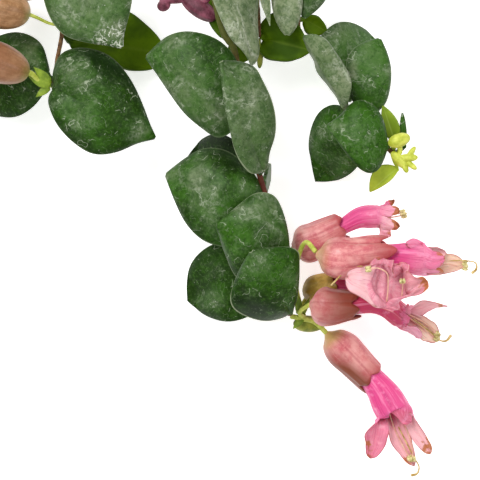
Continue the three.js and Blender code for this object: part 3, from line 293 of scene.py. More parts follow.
FLOWERS = [
    dict(name="flower_1", neck=4.8, close=0.3, fade=0.35, up=(0, 1, 0.1), width=10.6, depth=11.6, mouth=9.6,
         throat=7, teeth=(2, 1.4, 1.6, 2, 1.2), calyx=[(15.6, -2, 13.4), (21.4, -0.6, 14), (30.4, 3.7, 14.6)],
         groove=0.1, foot=0.15, ripe=1, dusk=0.05, blush=0, tube=[(36.6, 6.8, 15), (41.6, 7.2, 15.4)],
         lobes=[
             petal_lobe([(45, 9, 18.4), (48, 9.3, 17.6)], 2, (0, 0.3, 1), 0.6, 0.75),
             petal_lobe([(44.4, 4.6, 18), (48, 3.8, 17.2)], 2.1, (0, -0.3, 1), 1.2, 0.75),
             petal_lobe([(42.6, 2.8, 16.4), (45.6, 1.7, 16)], 2, (0, -0.6, 1), 1, 0.4),
             petal_lobe([(44.8, 5, 12.8), (47.4, 5, 12)], 2, (0, -0.6, -1), 0.7, 0.5),
             petal_lobe([(44.4, 10.8, 15), (46.5, 12.1, 15)], 1.6, (0, 0.6, 1), 0.3, 0.9, point=0.5),
         ],
         threads=[[(45, 7.4, 16.4), (48.6, 8.2, 17.4)], [(45, 6.8, 16), (49, 7.4, 16.4)]], style=[]),
    dict(name="flower_2", neck=6.4, close=0.06, fade=0.4, up=(0, 1, 0.95), width=13.2, depth=12.4, mouth=11.4,
         throat=9.2, teeth=(6.2, 2.4, 2, 3, 3.6), calyx=[(22.6, -4.4, 25.4), (32, -5.4, 26.2), (42, -4.4, 26.4)],
         groove=0.2, foot=0.5, ripe=1, dusk=0, blush=0, tube=[(48.8, -5.4, 26.6), (54.4, -6.1, 26)],
         lobes=[
             petal_lobe([(57.6, -6, 30.2), (61.4, -5.4, 28.8)], 3, (0.2, 0, 1), 0.35, 0.45, deep=0.15),
             petal_lobe([(57.2, -9.6, 27), (61.2, -9.8, 25.6)], 2.4, (0, -1, 0.5), 0.5, 0.7),
             petal_lobe([(58.6, -7.4, 23), (63, -7, 22.6), (67.6, -7.4, 22)], 3.4, (0, 0, -1), 1.8, 0, cup=0.35),
             petal_lobe([(57.8, -3.6, 24.4), (62, -4, 24.6)], 2.4, (0, 0.6, -1), 1.1, 0.25),
             petal_lobe([(52.4, -1.1, 28.8), (49.6, -1.3, 30)], 1.9, (0, 0.3, 1), 0.4, 0.1),
         ],
         threads=[[(58, -6.6, 25.4), (63, -6.4, 25.2), (67, -6.8, 24)],
                  [(58, -7.4, 25.2), (63, -7.4, 25), (67.2, -8.2, 23.6)]],
         style=[(58, -7, 25.4), (64, -6.2, 25), (68.6, -6.3, 24), (70.8, -6.9, 23), (71, -8.8, 22.2),
                (69.6, -10, 22)]),
    dict(name="flower_3", neck=5, close=0.13, fade=0.3, up=(0.4, 1, 0.1), width=10, depth=9.6, mouth=8, throat=11.8,
         teeth=(2, 2, 2, 2, 2), calyx=[(20, -17.4, 8), (24.6, -15, 11.6), (29.8, -13.6, 15.4)], groove=0.12, foot=0,
         ripe=0, dusk=0.2, blush=0.55, tube=[(39, -13.8, 21.8), (44.8, -13.2, 33)], panel=1.8, flare=0.4, crumple=2,
         web=0.5,
         lobes=[
             petal_lobe([(43, -7, 35.6), (43.2, -5.9, 35)], 3.3, (0, 0, -1), 0.3, 0.3, point=0, deep=0.5),
             petal_lobe([(37.6, -12.6, 36.4), (34.8, -12, 37), (31.7, -10.9, 35.6)], 4.7, (0.1, 0, -1), 0.95, 0),
             petal_lobe([(45.4, -19.4, 34), (47.4, -20.6, 33)], 3.4, (0, 0.3, -1), 0.3, 0.1, point=0.6, deep=0.5),
             petal_lobe([(51, -15, 36), (53.4, -13.4, 36), (56, -12.2, 35)], 3, (-0.1, 0, -1), 0.4, 0.6, deep=0.8),
             petal_lobe([(47.4, -8.2, 35.6), (47.2, -7.2, 35)], 3.3, (0, 0, -1), 0.3, 0.3, point=0, deep=0.5),
         ],
         threads=[[(43.6, -18.6, 33.4), (44.1, -12.4, 36.4), (43.6, -9.7, 38.4), (40.6, -8.3, 39), (38.6, -8.6, 39)],
                  [(47.6, -18.2, 33.4), (48.4, -14.6, 36), (48.3, -12.6, 37.8)]],
         stigma=0.3, style=[(40, -9, 31), (35.6, -7.8, 31.4), (31.6, -9.4, 30.6), (27.2, -13.6, 29)]),
    dict(name="flower_4", neck=6, close=0.2, fade=0.12, up=(0, 0.2, 1), width=11.2, depth=10.8, mouth=9, throat=7.6,
         teeth=(3, 4, 2.4, 2, 3), calyx=[(20.8, -19.2, 23), (26.4, -20, 23.8), (33, -19.6, 23.2)], groove=0.12,
         foot=0, ripe=1, dusk=0.9, blush=0.8, web=0.3,
         tube=[(40.4, -19, 21.8), (44.4, -19.9, 20.8), (48.5, -22.9, 19.4)],
         lobes=[
             petal_lobe([(49.4, -24.6, 23), (50.4, -25.2, 22.4)], 2.6, (0.3, -0.3, 1), 0.3, 0.1, deep=0.4),
             petal_lobe([(51.6, -27.4, 18.6), (54.6, -29.6, 16.6)], 2.4, (0, -1, 0.6), 0.7, 0, deep=0.35),
             petal_lobe([(53, -25, 15.6), (56.8, -27.6, 14.8), (60, -30.6, 14)], 3.6, (0, 0, -1), 1.7, 0, cup=0.35),
             petal_lobe([(53.2, -20.4, 18), (57.6, -19.7, 19), (62.6, -19.8, 18.4)], 3, (0, 0.1, -1), 0.9, 0.35,
                        point=0.9, deep=0.1),
             petal_lobe([(49.6, -21, 23), (50.6, -21.6, 22.4)], 2.6, (0.3, 0.3, 1), 0.3, 0.1, deep=0.4),
         ],
         threads=[[(52, -23, 18), (56.4, -25.6, 16.4), (59.2, -28.2, 15.6)],
                  [(52, -24.2, 17.6), (56.4, -27.4, 16), (59, -29.4, 15.2)]],
         style=[(52, -23.6, 17.6), (57.6, -27.8, 16), (60.6, -30.4, 14.8), (62.4, -30.4, 14.6),
                (63.8, -28.7, 14.8)]),
    dict(name="flower_5", neck=7.6, close=0.14, fade=0.1, up=(0, 0.2, 1), width=11, depth=10.4, mouth=10,
         throat=10.6, teeth=(2, 4.6, 2, 1.4, 1.4), calyx=[(26, -28, 13.6), (32.6, -34.4, 13), (38.9, -40.9, 12.2)],
         groove=0.08, foot=0.8, ripe=1, dusk=0.2, flank=(0.25, 1.7), blush=0.1,
         tube=[(43, -46, 11.8), (46.2, -51.4, 11.2)], web=0.3,
         lobes=[
             petal_lobe([(44.8, -51.4, 15.2), (45, -52, 14.8)], 2.6, (0, -0.3, 1), 0.1, 0),
             petal_lobe([(41.6, -56, 11.4), (41, -61, 9.4), (39.6, -66.4, 7)], 4, (0, 0.2, -1), 0.3, 0.45, cup=0.6,
                        point=0.3),
             petal_lobe([(47.6, -57, 8), (50, -63, 6.6), (53, -68.8, 5.6)], 3.7, (0, 0, -1), 0.8, 0.3, cup=0.35,
                        point=0.4),
             petal_lobe([(52, -55.6, 10), (55, -60.4, 9), (57.8, -64.8, 7.8)], 2.4, (0.2, 0, -1), 0.9, 0.45,
                        cup=0.3),
             petal_lobe([(49.8, -53.4, 14.8), (52, -55, 13.4)], 2.3, (0.4, -0.2, 1), 0.3, 0.2, deep=0.6),
         ],
         threads=[[(46.4, -56, 9), (49.2, -62, 8.2), (51.4, -65.8, 7.4)],
                  [(50, -56.4, 9.6), (52, -62, 8.6), (52.4, -66, 7.6)]],
         style=[(48, -56.6, 9), (52.6, -65.6, 7.4), (54.4, -69, 6.2), (53.8, -71, 5.6), (52, -71.6, 5)]),
]

# Buds. finish: its look. slot: its slot of the record. dusk: how brown it is. stalk: rod points with a radius each.
# swellings: start, end and radius. bracts: start, end and half width of each pointed green bract.
BUDS = [
    dict(name="bud_left_1", finish="tan", slot="tan_bud",
         stalk=[(-54.8, 64.6, 21.8, 0.5), (-57.6, 65.2, 23, 0.5), (-60.6, 66.6, 24.4, 0.55),
                (-64.6, 68.2, 25.6, 0.7)],
         swellings=[((-62.9, 67.5, 25.4), (-82, 71.8, 27), 6.2)]),
    dict(name="bud_left_2", finish="tan", slot="tan_bud", dusk=0.9,
         stalk=[(-56.2, 46.3, 20.2, 0.6), (-59.6, 47, 22.6, 0.7), (-62.4, 49.8, 25.6, 0.9), (-64.6, 50.6, 26.6, 1)],
         swellings=[((-63.2, 49.8, 26.4), (-84, 57, 28), 6)],
         bracts=[((-56.6, 46.4, 23), (-64.4, 49.6, 24.6), 1.9), ((-57, 47.2, 23.2), (-62.4, 52.4, 24.8), 1.5),
                 ((-57.2, 46.2, 22.8), (-61.8, 42.6, 23), 1.3)]),
    dict(name="bud_left_3", finish="tan", slot="tan_bud",
         stalk=[(-55.6, 76.4, 22, 0.5), (-58, 76, 20, 0.55), (-61, 76.4, 19, 0.7)],
         swellings=[((-59.6, 75.2, 19.2), (-77, 79.4, 16.6), 5.2)]),
    dict(name="bud_top", finish="dusky", slot="dusky_bud",
         stalk=[(-8.2, 73.8, 21.6, 0.6), (-10.6, 71.6, 19.2, 0.8), (-13, 71, 18.2, 1.2)],
         swellings=[((-7.4, 66.4, 18.6), (-17.6, 73.8, 17), 2.9), ((-14, 73, 17.6), (-24.4, 72.3, 16), 1.5),
                    ((-21.2, 72, 16.6), (-24.8, 69.8, 16), 1.9)]),
    dict(name="bud_young", finish="yellow", slot="young_bud",
         stalk=[(46.4, 25.2, 21.4, 0.6), (48, 26.4, 24, 0.8), (47.6, 29.4, 24.8, 0.9)],
         swellings=[((44.4, 28.8, 25.6), (51, 31, 24.8), 2.1), ((45.4, 26.4, 24.2), (50.4, 21.4, 23.6), 1.6),
                    ((47.6, 24.6, 23.8), (53.4, 24.8, 24.6), 1.3), ((50, 24.2, 24), (52.6, 28, 24.8), 0.9),
                    ((50, 23.6, 24), (53, 21.2, 24.8), 0.9), ((49, 23, 24.2), (50.2, 20.2, 25), 0.9)]),
    dict(name="bud_shoot", finish="olive", slot="young_leaf", stalk=[(5.8, 60.6, 19.8, 0.5), (6, 57, 17.4, 0.4)],
         swellings=[((6.1, 57.6, 17.4), (5.9, 51.8, 15.6), 1)]),
]

# Stalks of the flower cluster, each from the stem outwards, with its swellings and bracts
CLUSTER_NODE = (19.4, -23.8, 17, 0.9)  # where the flower stalks part
CLUSTER_STALKS = [
    [(15.2, -23, 19, 0.8), CLUSTER_NODE, (22.6, -24.8, 15.2, 0.8), (26.4, -28.4, 13.4, 0.8)],
    [CLUSTER_NODE, (17, -15, 16.4, 0.8), (17.2, -6.4, 19.4, 0.75), (19.8, -0.6, 22.4, 0.75),
     (22.8, -3.6, 25, 0.8)],
    [CLUSTER_NODE, (16.4, -16, 14.4, 0.65), (14.2, -8, 12.6, 0.6), (16.2, -1.8, 13.4, 0.65)],
    [CLUSTER_NODE, (18, -21.4, 12, 0.65), (20.4, -17.2, 8.4, 0.7)],
    [CLUSTER_NODE, (18, -21.6, 20.6, 0.7), (21.2, -19.2, 23, 0.7)],
]
CLUSTER_SWELLINGS = [((16.4, -25.2, 16.6), (25.4, -25.6, 9), 2.6)]
CLUSTER_BRACTS = [
    ((18, -22.6, 18.4), (17.2, -15.4, 19.4), 1.2), ((19, -23.4, 17.8), (15.6, -27.2, 17.8), 1.1),
    ((18.6, -22.8, 18), (21.2, -16.8, 16.4), 0.9),
]


# Curves and numbers


def mix(a, b, t):
    return a + (b - a) * t


def ease(low, high, value):
    """Rises smoothly from 0 at low to 1 at high."""
    t = min(max((value - low) / (high - low), 0), 1)
    return t * t * (3 - 2 * t)


def flow(keys, t):
    """A smooth value through the keys, pairs of a place and a value."""
    last = len(keys) - 1
    i = next((n for n in range(last) if t <= keys[n + 1][0]), last - 1)
    slopes = []
    for n in (i, i + 1):
        (t0, v0), (t1, v1) = keys[max(n - 1, 0)], keys[min(n + 1, last)]
        slopes.append((v1 - v0) / (t1 - t0))
    (t0, v0), (t1, v1) = keys[i], keys[i + 1]
    span = t1 - t0
    w = (t - t0) / span
    w2, w3 = w * w, w * w * w
    return ((2 * w3 - 3 * w2 + 1) * v0 + (w3 - 2 * w2 + w) * span * slopes[0]
            + (3 * w2 - 2 * w3) * v1 + (w3 - w2) * span * slopes[1])


def path_point(points, t):
    """A point of the smooth centripetal path through points, t from 0 to 1."""
    spots = [Vector(p[:3]) for p in points]
    place = min(max(t, 0), 1) * (len(spots) - 1)
    i = min(int(place), len(spots) - 2)
    w = place - i
    b, c = spots[i], spots[i + 1]
    a = spots[i - 1] if i > 0 else 2 * b - c
    d = spots[i + 2] if i + 2 < len(spots) else 2 * c - b
    ab, bc, cd = (math.sqrt((q - p).length) or 1 for p, q in ((a, b), (b, c), (c, d)))
    start = ((b - a) / ab - (c - a) / (ab + bc) + (c - b) / bc) * bc
    end = ((c - b) / bc - (d - b) / (bc + cd) + (d - c) / cd) * bc
    return b + start * w + (3 * (c - b) - 2 * start - end) * w ** 2 + (2 * (b - c) + start + end) * w ** 3


def heading(points, t):
    """The direction of a path at t."""
    return (path_point(points, min(t + PATH_STEP, 1)) - path_point(points, max(t - PATH_STEP, 0))).normalized()


def steady_up(points, t):
    """Up, or sideways where the path itself runs up."""
    return (1, 0, 0) if abs(heading(points, t).z) > STEEP else (0, 0, 1)


def frame_at(points, t, up):
    """The point at t on a path, its direction, and the two directions across it."""
    ahead = heading(points, t)
    high = Vector(up)
    high = (high - ahead * ahead.dot(high)).normalized()
    return path_point(points, t), ahead, high, ahead.cross(high)


def around(points, t, up, u, deep, wide):
    """A point at u round the path at t, with its radius towards up and its radius across."""
    spot, _, high, side = frame_at(points, t, up)
    angle = 2 * math.pi * u
    return spot + high * (math.cos(angle) * deep) + side * (math.sin(angle) * wide)


def ripple(point, size, amount):
    """A small smooth rise and fall over the surface, with waves of that size."""
    return noise.noise(point / size) * amount


def pleat(u, v, turns, length, seed, amount):
    """Lengthwise folds round a tube that meet where it closes."""
    angle = 2 * math.pi * u
    return noise.noise(Vector((math.cos(angle) * turns, math.sin(angle) * turns, v * length + seed))) * amount


# Meshes


def new_mesh(*marks):
    """An empty mesh whose corners can carry the named values."""
    bm = bmesh.new()
    bm.loops.layers.uv.new("UVMap")
    for mark in marks:
        bm.verts.layers.float.new(mark)
    return bm


def skin(bm, faces, shape, marks=None, finish=0):
    """Adds a grid, and moves each of its points to shape(u, v) on the sheet, with u and v from 0 to 1."""
    verts = bmesh.ops.create_grid(bm, x_segments=faces[0], y_segments=faces[1], size=0.5, calc_uvs=True)["verts"]
    for vert in verts:
        u, v = vert.co.x + 0.5, vert.co.y + 0.5
        vert.co = (shape(u, v) - MIDDLE) * MM
        for name, value in (marks(u, v) if marks else {}).items():
            vert[bm.verts.layers.float[name]] = value
    for face in {face for vert in verts for face in vert.link_faces}:
        face.material_index = finish
        face.smooth = True


def rod(bm, points, faces, finish=0, marks=None, swell=None):
    """A round rod with closed ends along points that each carry a radius."""
    up = steady_up(points, 0)
    last = len(points) - 1
    sides, rows = faces

    def shape(u, v):
        row = v * (rows + 2)
        t = min(max((row - 1) / rows, 0), 1)
        i = min(int(t * last), last - 1)
        radius = mix(points[i][3], points[i + 1][3], t * last - i)
        if swell:
            radius *= swell(t)
        if row < 0.5 or row > rows + 1.5:
            radius = 0
        return around(points, t, up, u, radius, radius)

    skin(bm, (sides, rows + 2), shape, marks, finish)


def swelling(bm, start, end, radius, faces, ridge, rough, marks=None):
    """A closed rounded body along an axis in the second finish, with five shallow clefts towards its end."""
    axis = [start, Vector(start).lerp(Vector(end), 0.5), end]
    up = steady_up(axis, 0.5)

    def shape(u, v):
        t = (1 - math.cos(math.pi * v)) / 2
        bulge = math.sin(math.pi * v) ** 0.9
        bulge *= 1 - ridge * abs(math.cos(5 * math.pi * u)) ** 6 * ease(0.3, 0.9, t)
        bulge *= 1 + pleat(u, v, 1.5, 2, start[0], rough)
        return around(axis, t, up, u, radius * bulge, radius * bulge)

    skin(bm, faces, shape, marks, 1)


def bract(bm, start, end, half):
    """A small pointed leaf in the third finish, closed all round, with its middle raised and its foot widened."""
    axis = [start, Vector(start).lerp(Vector(end), 0.5) + Vector((0, 0, BRACT_HALF)), end]

    def shape(u, v):
        wide = half * math.sin(math.pi * min(v + 0.1, 1) ** 0.8) ** 0.9 + (BRACT_HALF if v < 0.1 else 0)
        if v > 0.999 or v < 0.001:
            wide = 0
        return around(axis, v, (0, 0, 1), u, min(BRACT_HALF, wide / 2), wide)

    skin(bm, BRACT_FACES, shape, finish=2)


def new_object(name, bm):
    """Hangs the finished mesh in the scene."""
    mesh = bpy.data.meshes.new(name)
    bm.to_mesh(mesh)
    bm.free()
    made = bpy.data.objects.new(name, mesh)
    bpy.context.scene.collection.objects.link(made)
    return made


def piece(name, bm, finishes, nodes, wall=0.0, offset=0.0):
    """Welds the mesh, gives it its lined wall and rounding, and hangs it on the plant in place of CAD nodes. The
    wall lies inside the surface where the offset is -1, and half on each side where it is 0."""
    bmesh.ops.remove_doubles(bm, verts=bm.verts[:], dist=WELD * MM)
    made = new_object(name, bm)
    for finish in finishes:
        made.data.materials.append(finish)
    if wall:
        solid = made.modifiers.new("wall", "SOLIDIFY")
        solid.thickness = wall * MM
        solid.offset = offset
        solid.material_offset = 1
    rounding = made.modifiers.new("rounding", "SUBSURF")
    rounding.levels = rounding.render_levels = 1
    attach(made, "root")
    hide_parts(*nodes)


# Leaves


def outline(t, widest, full):
    """Share of the greatest half width at t along a blade."""
    a = full * widest
    b = full - a
    return t ** a * (1 - t) ** b / (widest ** a * (1 - widest) ** b)


def edge_reach(leaf, t, s, share, half):
    """The way in plan from the midrib to the edge, on the left side where s is above 0."""
    base, tip = Vector(leaf["base"][:2]), Vector(leaf["tip"][:2])
    chord = tip - base
    out = Vector((-chord.y, chord.x)).normalized() * (1 if s > 0 else -1)
    edge = leaf.get("left_edge" if s > 0 else "right_edge")
    least = mix(PETIOLE_HALF, TIP_HALF, t)
    if not edge:
        return out * max(half * share, least)
    spots = [(*base, 0), *((x, y, 0) for x, y in edge), (*tip, 0)]
    reach = path_point(spots, t).xy - base - chord * t
    return reach + out * least * max(0, 1 - reach.length / (2 * least))


def blade_point(leaf, t, s):
    """The middle surface of a blade, t from base to tip and s from the right edge, -1, to the left edge, 1."""
    base, tip = Vector(leaf["base"]), Vector(leaf["tip"])
    half, widest = leaf["left"] if s > 0 else leaf["right"]
    share = outline(t, widest, leaf.get("full", LEAF_FULLNESS))
    reach = edge_reach(leaf, t, s, share, half)
    point = base.lerp(tip, t) + Vector((*reach, 0)) * abs(s)
    point.z += leaf["arch"] * 4 * t * (1 - t) + share * (leaf.get("roll", 0) * s - leaf["dome"] * s * s)
    grown = min(1, half / GROWN_HALF)
    midrib = math.exp(-((abs(s) * reach.length / MIDRIB_HALF) ** 2)) * ease(0, 0.15, t) * ease(1, 0.8, t)
    point.z -= MIDRIB_DEPTH * grown * midrib
    point.z -= RIM_ROLL * grown * ease(0.74, 1, abs(s)) ** 2 * min(share * 2, 1)
    for side, start, drop in leaf.get("bends", []):
        point.z -= drop * share * ease(start, 1.1, side * s)
    for size, rise, level in LEAF_WAVES:
        point.z += ripple(Vector((point.x, point.y, level)), size, rise * grown * share)
    point.z = max(point.z, LEAF_WALL / 2 + CLEARANCE)
    return point


def stalk_point(leaf, p, s):
    """The stalk of a leaf, p from inside the stem to the blade's base."""
    root, base = Vector(leaf["start"][:3]), Vector(leaf["base"])
    way = (base - root).normalized()
    start = root + way * leaf["start"][3] * 0.4
    left = blade_point(leaf, 0, 1) - blade_point(leaf, 0, -1)
    across = way.cross(Vector((0, 0, 1))).normalized() * PETIOLE_HALF
    if across.dot(left) < 0:
        across = -across
    return start.lerp(blade_point(leaf, 0, 0), p) + across.lerp(left / 2, ease(0.2, 1, p)) * s


def dust_sheen_and_shade_at(leaf, point):
    """Grey dust with painted sheen, and the depth of green with painted light and shade, at a point of a leaf."""
    dust_and_sheen, tone = leaf.get("dust_and_sheen", 0), leaf.get("tone", 0)
    drift = Vector((ripple(point, 3, 1), ripple(point + Vector((5, 5, 5)), 3, 1), 0))
    for x, y, size, amount in leaf.get("dust_sheen_and_shade_spots", []):
        near = math.exp(-((point - Vector((x, y, point.z)) + drift * size * 0.9).length / size) ** 2)
        # Spots above 0 add dust with painted sheen; spots below 0 thin the dust and paint shade into the tone; on an
        # underside they paint light and shade into the tone.
        dust_and_sheen = dust_and_sheen + amount * near if amount > 0 else dust_and_sheen * (1 + amount * near)
        tone += 2 * (amount if leaf.get("skin") == "under" else min(amount, 0)) * near
    return dust_and_sheen, tone


def leaf_piece(leaf):
    """A blade with its stalk in one grid of faces."""
    narrow = leaf["left"][0] + leaf["right"][0] < NARROW

    def blade_place(v):
        """Rows lie closer together at the base and the tip."""
        x = min(max((v - STALK_SHARE) / (1 - STALK_SHARE), 0), 1)
        return mix(x, (1 - math.cos(math.pi * x)) / 2, 0.7)

    def across_place(u):
        """Columns of a broad leaf lie closer together at its edges."""
        return 1 - 2 * u if narrow else math.sin((0.5 - u) * math.pi)

    def shape(u, v):
        if v < STALK_SHARE - 1e-4:
            return stalk_point(leaf, v / STALK_SHARE, across_place(u))
        return blade_point(leaf, blade_place(v), across_place(u))

    def marks(u, v):
        s, t = across_place(u), blade_place(v)
        on_blade = ease(STALK_SHARE, STALK_SHARE + 0.05, v)
        left, right = leaf.get("rim", (0, 0))
        # Grey dust with painted sheen, and the leaf's own green with painted light and shade, at this point.
        dust_and_sheen, tone = dust_sheen_and_shade_at(leaf, blade_point(leaf, t, s))
        return {"edge": max(abs(s), ease(0.9, 1, t)) * on_blade, "rib": 1 - ease(0, 0.12, abs(s)), "dust_and_sheen": dust_and_sheen,
                "tone": tone, "rim": left if s > 0 else right, "worn": ease(0.64, 0.9, t) * leaf.get("worn", 0)}

    bm = new_mesh("edge", "rib", "dust_and_sheen", "tone", "rim", "worn")
    skin(bm, NARROW_LEAF_FACES if narrow else LEAF_FACES, shape, marks)
    finishes, slot = {
        "upper": ([LEAF_UPPER, LEAF_UNDER], "leaf_green"),
        "under": ([LEAF_UNDER, LEAF_UPPER], "leaf_underside"),
        "young": ([LEAF_YOUNG, LEAF_YOUNG], "young_leaf"),
    }[leaf.get("skin", "upper")]
    piece("blade_" + leaf["name"], bm, finishes, ["leaf_" + leaf["name"]], leaf.get("wall", LEAF_WALL))


# Flowers


def calyx_piece(flower):
    """A cup of five grooved segments, each ending in a tooth."""
    axis = flower["calyx"]
    mouth = flower["mouth"] / 2

    def radius(t, half):
        """Narrow at the stalk, swollen at the foot, and drawn in a little towards the mouth."""
        keys = [(0, 0.8), (0.05, 1.5), (0.15, 0.74 * half), (0.36, half), (0.62, 0.97 * half),
                (0.86, mix(0.97 * half, mouth, 0.6)), (1, mouth)]
        return flow(keys, t)

    def shape(u, v):
        t = min(v / BODY_SHARE, 1)
        e = max((v - BODY_SHARE) / (1 - BODY_SHARE), 0)
        tooth, place = int(u * 5) % 5, (u * 5) % 1
        cleft = abs(2 * place - 1) ** 6 * flower["groove"] * ease(0.3, 1, t)
        keel = CALYX_KEEL * math.exp(-(((place - 0.5) / 0.14) ** 2)) * ease(0.1, 0.4, t)
        folds = pleat(u, v, 1.6, 2.4, axis[0][0], 0.09) + pleat(u, v, 4, 3, axis[0][1], 0.05 * ease(0.4, 1, v))
        scale = (1 - cleft + keel - flower["close"] * e * e) * (1 + folds * ease(0.04, 0.25, t))
        rise = max(1 - abs(2 * place - 1) ** 1.7, 0.05) * mix(CALYX_TOOTH, flower["teeth"][tooth], 0.85) * e
        deep, wide = (radius(t, flower[size] / 2) * scale for size in ("depth", "width"))
        return around(axis, t, flower["up"], u, deep, wide) + heading(axis, t) * rise

    def marks(u, v):
        place = (u * 5) % 1
        # A darker side round the calyx, painted shade, is added to the dusk mark.
        at, much = flower.get("flank", (0, 0))
        dusk = flower["dusk"] + much * max(math.cos(2 * math.pi * (u - at)), 0) ** 1.5
        # The clefts are marked for painted shade.
        return {"along": v, "cleft_shade": abs(2 * place - 1) ** 4, "ripe": flower["ripe"], "dusk": dusk,
                "foot": flower["foot"]}

    bm = new_mesh("along", "cleft_shade", "ripe", "dusk", "foot")
    skin(bm, CALYX_FACES, shape, marks)
    piece("cup_" + flower["name"], bm, [CALYX, CALYX_LINING], [flower["name"] + "_calyx"], CALYX_WALL,
          -1.0)


def tube_axis(flower):
    """The corolla's centre line, from the foot of its calyx to its mouth."""
    return [path_point(flower["calyx"], 0.17), *flower["calyx"][1:], *flower["tube"]]


def mouth_frame(flower, u):
    """The mouth's centre and the direction out of it at u round the tube."""
    spot, _, high, side = frame_at(tube_axis(flower), 1, flower["up"])
    angle = 2 * math.pi * u
    return spot, high * math.cos(angle) + side * math.sin(angle)


def mouth_point(flower, u):
    """A point of the pleated rim of the mouth."""
    spot, out = mouth_frame(flower, u)
    return spot + out * (flower["throat"] / 2 * (1 + pleat(u, 1, 1.7, 3, flower["throat"], 0.12)))


def corolla_piece(flower):
    """The pleated tube and its five lobes, and the folded inside of its throat where that shows."""
    axis = tube_axis(flower)
    neck, opening = flower["neck"] / 2, flower["throat"] / 2
    keys = [(0, 0.9), (0.12, 1.6), (0.42, neck * 0.95), (0.54, neck),
            (0.8, mix(neck, opening, flower.get("flare", 0.8))), (1, opening)]

    def tube(u, v):
        if v > 0.999:
            return mouth_point(flower, u)
        free = ease(0.45, 0.7, v)
        folds = pleat(u, v, 1.7, 3, flower["throat"], 0.12 * free)
        folds += pleat(u, v, 5, 2, 3, 0.07 * free * ease(1, 0.9, v))
        radius = flow(keys, v) * (1 + folds)
        return around(axis, v, flower["up"], u, radius, radius)

    def tube_marks(u, v):
        return {"pale": flower["fade"] * ease(0.6, 1, v), "deep": flower["blush"]}

    bm = new_mesh("pale", "wither", "edge", "deep")
    skin(bm, (LOBE_FACES[0] * 5, TUBE_ROWS), tube, tube_marks)
    for k, lobe in enumerate(flower["lobes"]):
        skin(bm, LOBE_FACES, *lobe_surface(flower, k, lobe))
    if "panel" in flower:
        skin(bm, (LOBE_FACES[0] * 5, PANEL_ROWS), *throat_panel(flower))
    piece("tube_" + flower["name"], bm, [COROLLA, COROLLA_LINING], [flower["name"] + "_corolla"],
          COROLLA_WALL, -1.0)


def lobe_point(flower, k, u, v):
    """A point of lobe k by itself: it leaves its fifth of the mouth, follows its way and turns its back as told."""
    lobe = flower["lobes"][k]
    foot = mouth_point(flower, (k + 0.5) / 5)
    way = [foot, *lobe["way"]]
    half = (mouth_point(flower, (k + 1) / 5) - mouth_point(flower, k / 5)).length / 2
    seed = 7.3 * k + flower["throat"]
    q = 2 * u - 1
    free, away = ease(0.15, 0.5, v), ease(0, LOBE_FOOT, v)

    blunt = math.sqrt(max(1 - max((v - 0.5) / 0.5, 0) ** 2.6, 0.0004))
    sharp = max(1 - ease(0.25, 1.02, v), 0.02)
    wide = mix(half, lobe["wide"], away) * mix(blunt, sharp, lobe["point"])
    ahead = heading(way, min(max(v, 0.02), 0.98))
    out = mouth_frame(flower, (k + 0.5) / 5)[1]
    back = out.lerp(Vector(lobe["face"]).normalized(), ease(0, 0.16, v)).normalized()
    across = ahead.cross(back).normalized()
    back = across.cross(ahead)

    crumple = flower.get("crumple", 1) * free
    lift = -lobe["cup"] * wide * q * q
    lift += noise.noise(Vector((q * 2.6, v * 1.3, seed))) * 0.5 * crumple
    lift += noise.noise(Vector((q, v * 6, seed + 3))) * 0.9 * abs(q) ** 3 * crumple
    lift += LOBE_KEEL * math.exp(-((q / 0.16) ** 2)) * free
    ragged = 1 + noise.noise(Vector((math.copysign(1, q), v * 5, seed))) * 0.16 * abs(q) * crumple
    rooted = mouth_point(flower, (k + u) / 5) - foot
    return path_point(way, v) + rooted.lerp(across * (wide * q * ragged) + back * lift, away)


def lobe_surface(flower, k, lobe):
    """A lobe of the corolla, joined at its foot to the lobes beside it."""
    def shape(u, v):
        point = lobe_point(flower, k, u, v)
        web = flower.get("web", WEB)
        joined = (2 * u - 1) ** 2 * (1 - ease(web, web + 0.2, v))
        if joined > 0:
            beside, own = (k + 1, 1) if u > 0.5 else (k - 1, 0)
            gap = lobe_point(flower, beside % 5, 1 - own, v) - lobe_point(flower, k, own, v)
            point += gap * joined / 2
        return point

    def marks(u, v):
        q = abs(2 * u - 1)
        rag = noise.noise(Vector((u * 4, v * 5, k * 3.7))) * 0.25
        tip = ease(0.56, 0.96, v + 0.14 * q ** 2 + rag)
        edge = max(q * ease(WEB, WEB + 0.2, v), ease(0.7, 1, v))
        deep = mix(flower["blush"], lobe["deep"], ease(0, 0.3, v))
        return {"pale": mix(flower["fade"], lobe["pale"], ease(0, 0.5, v)), "wither": lobe["wither"] * tip,
                "edge": edge, "deep": deep}

    return shape, marks


def throat_panel(flower):
    """The folded inside of the tube, a little way down its throat."""
    spot, ahead, high, side = frame_at(tube_axis(flower), 1, flower["up"])

    def shape(u, v):
        out = (mouth_point(flower, 1 - u) - spot) * (1 - v)
        fold = noise.noise(Vector((out.dot(side) * 0.42, out.dot(high) * 0.12, 4))) * 1.6 * ease(0, 0.4, v)
        return spot + out - ahead * (flower["panel"] * math.sin(v * math.pi / 2) + fold)

    return shape, lambda u, v: {"pale": 0.45, "deep": 0.3}


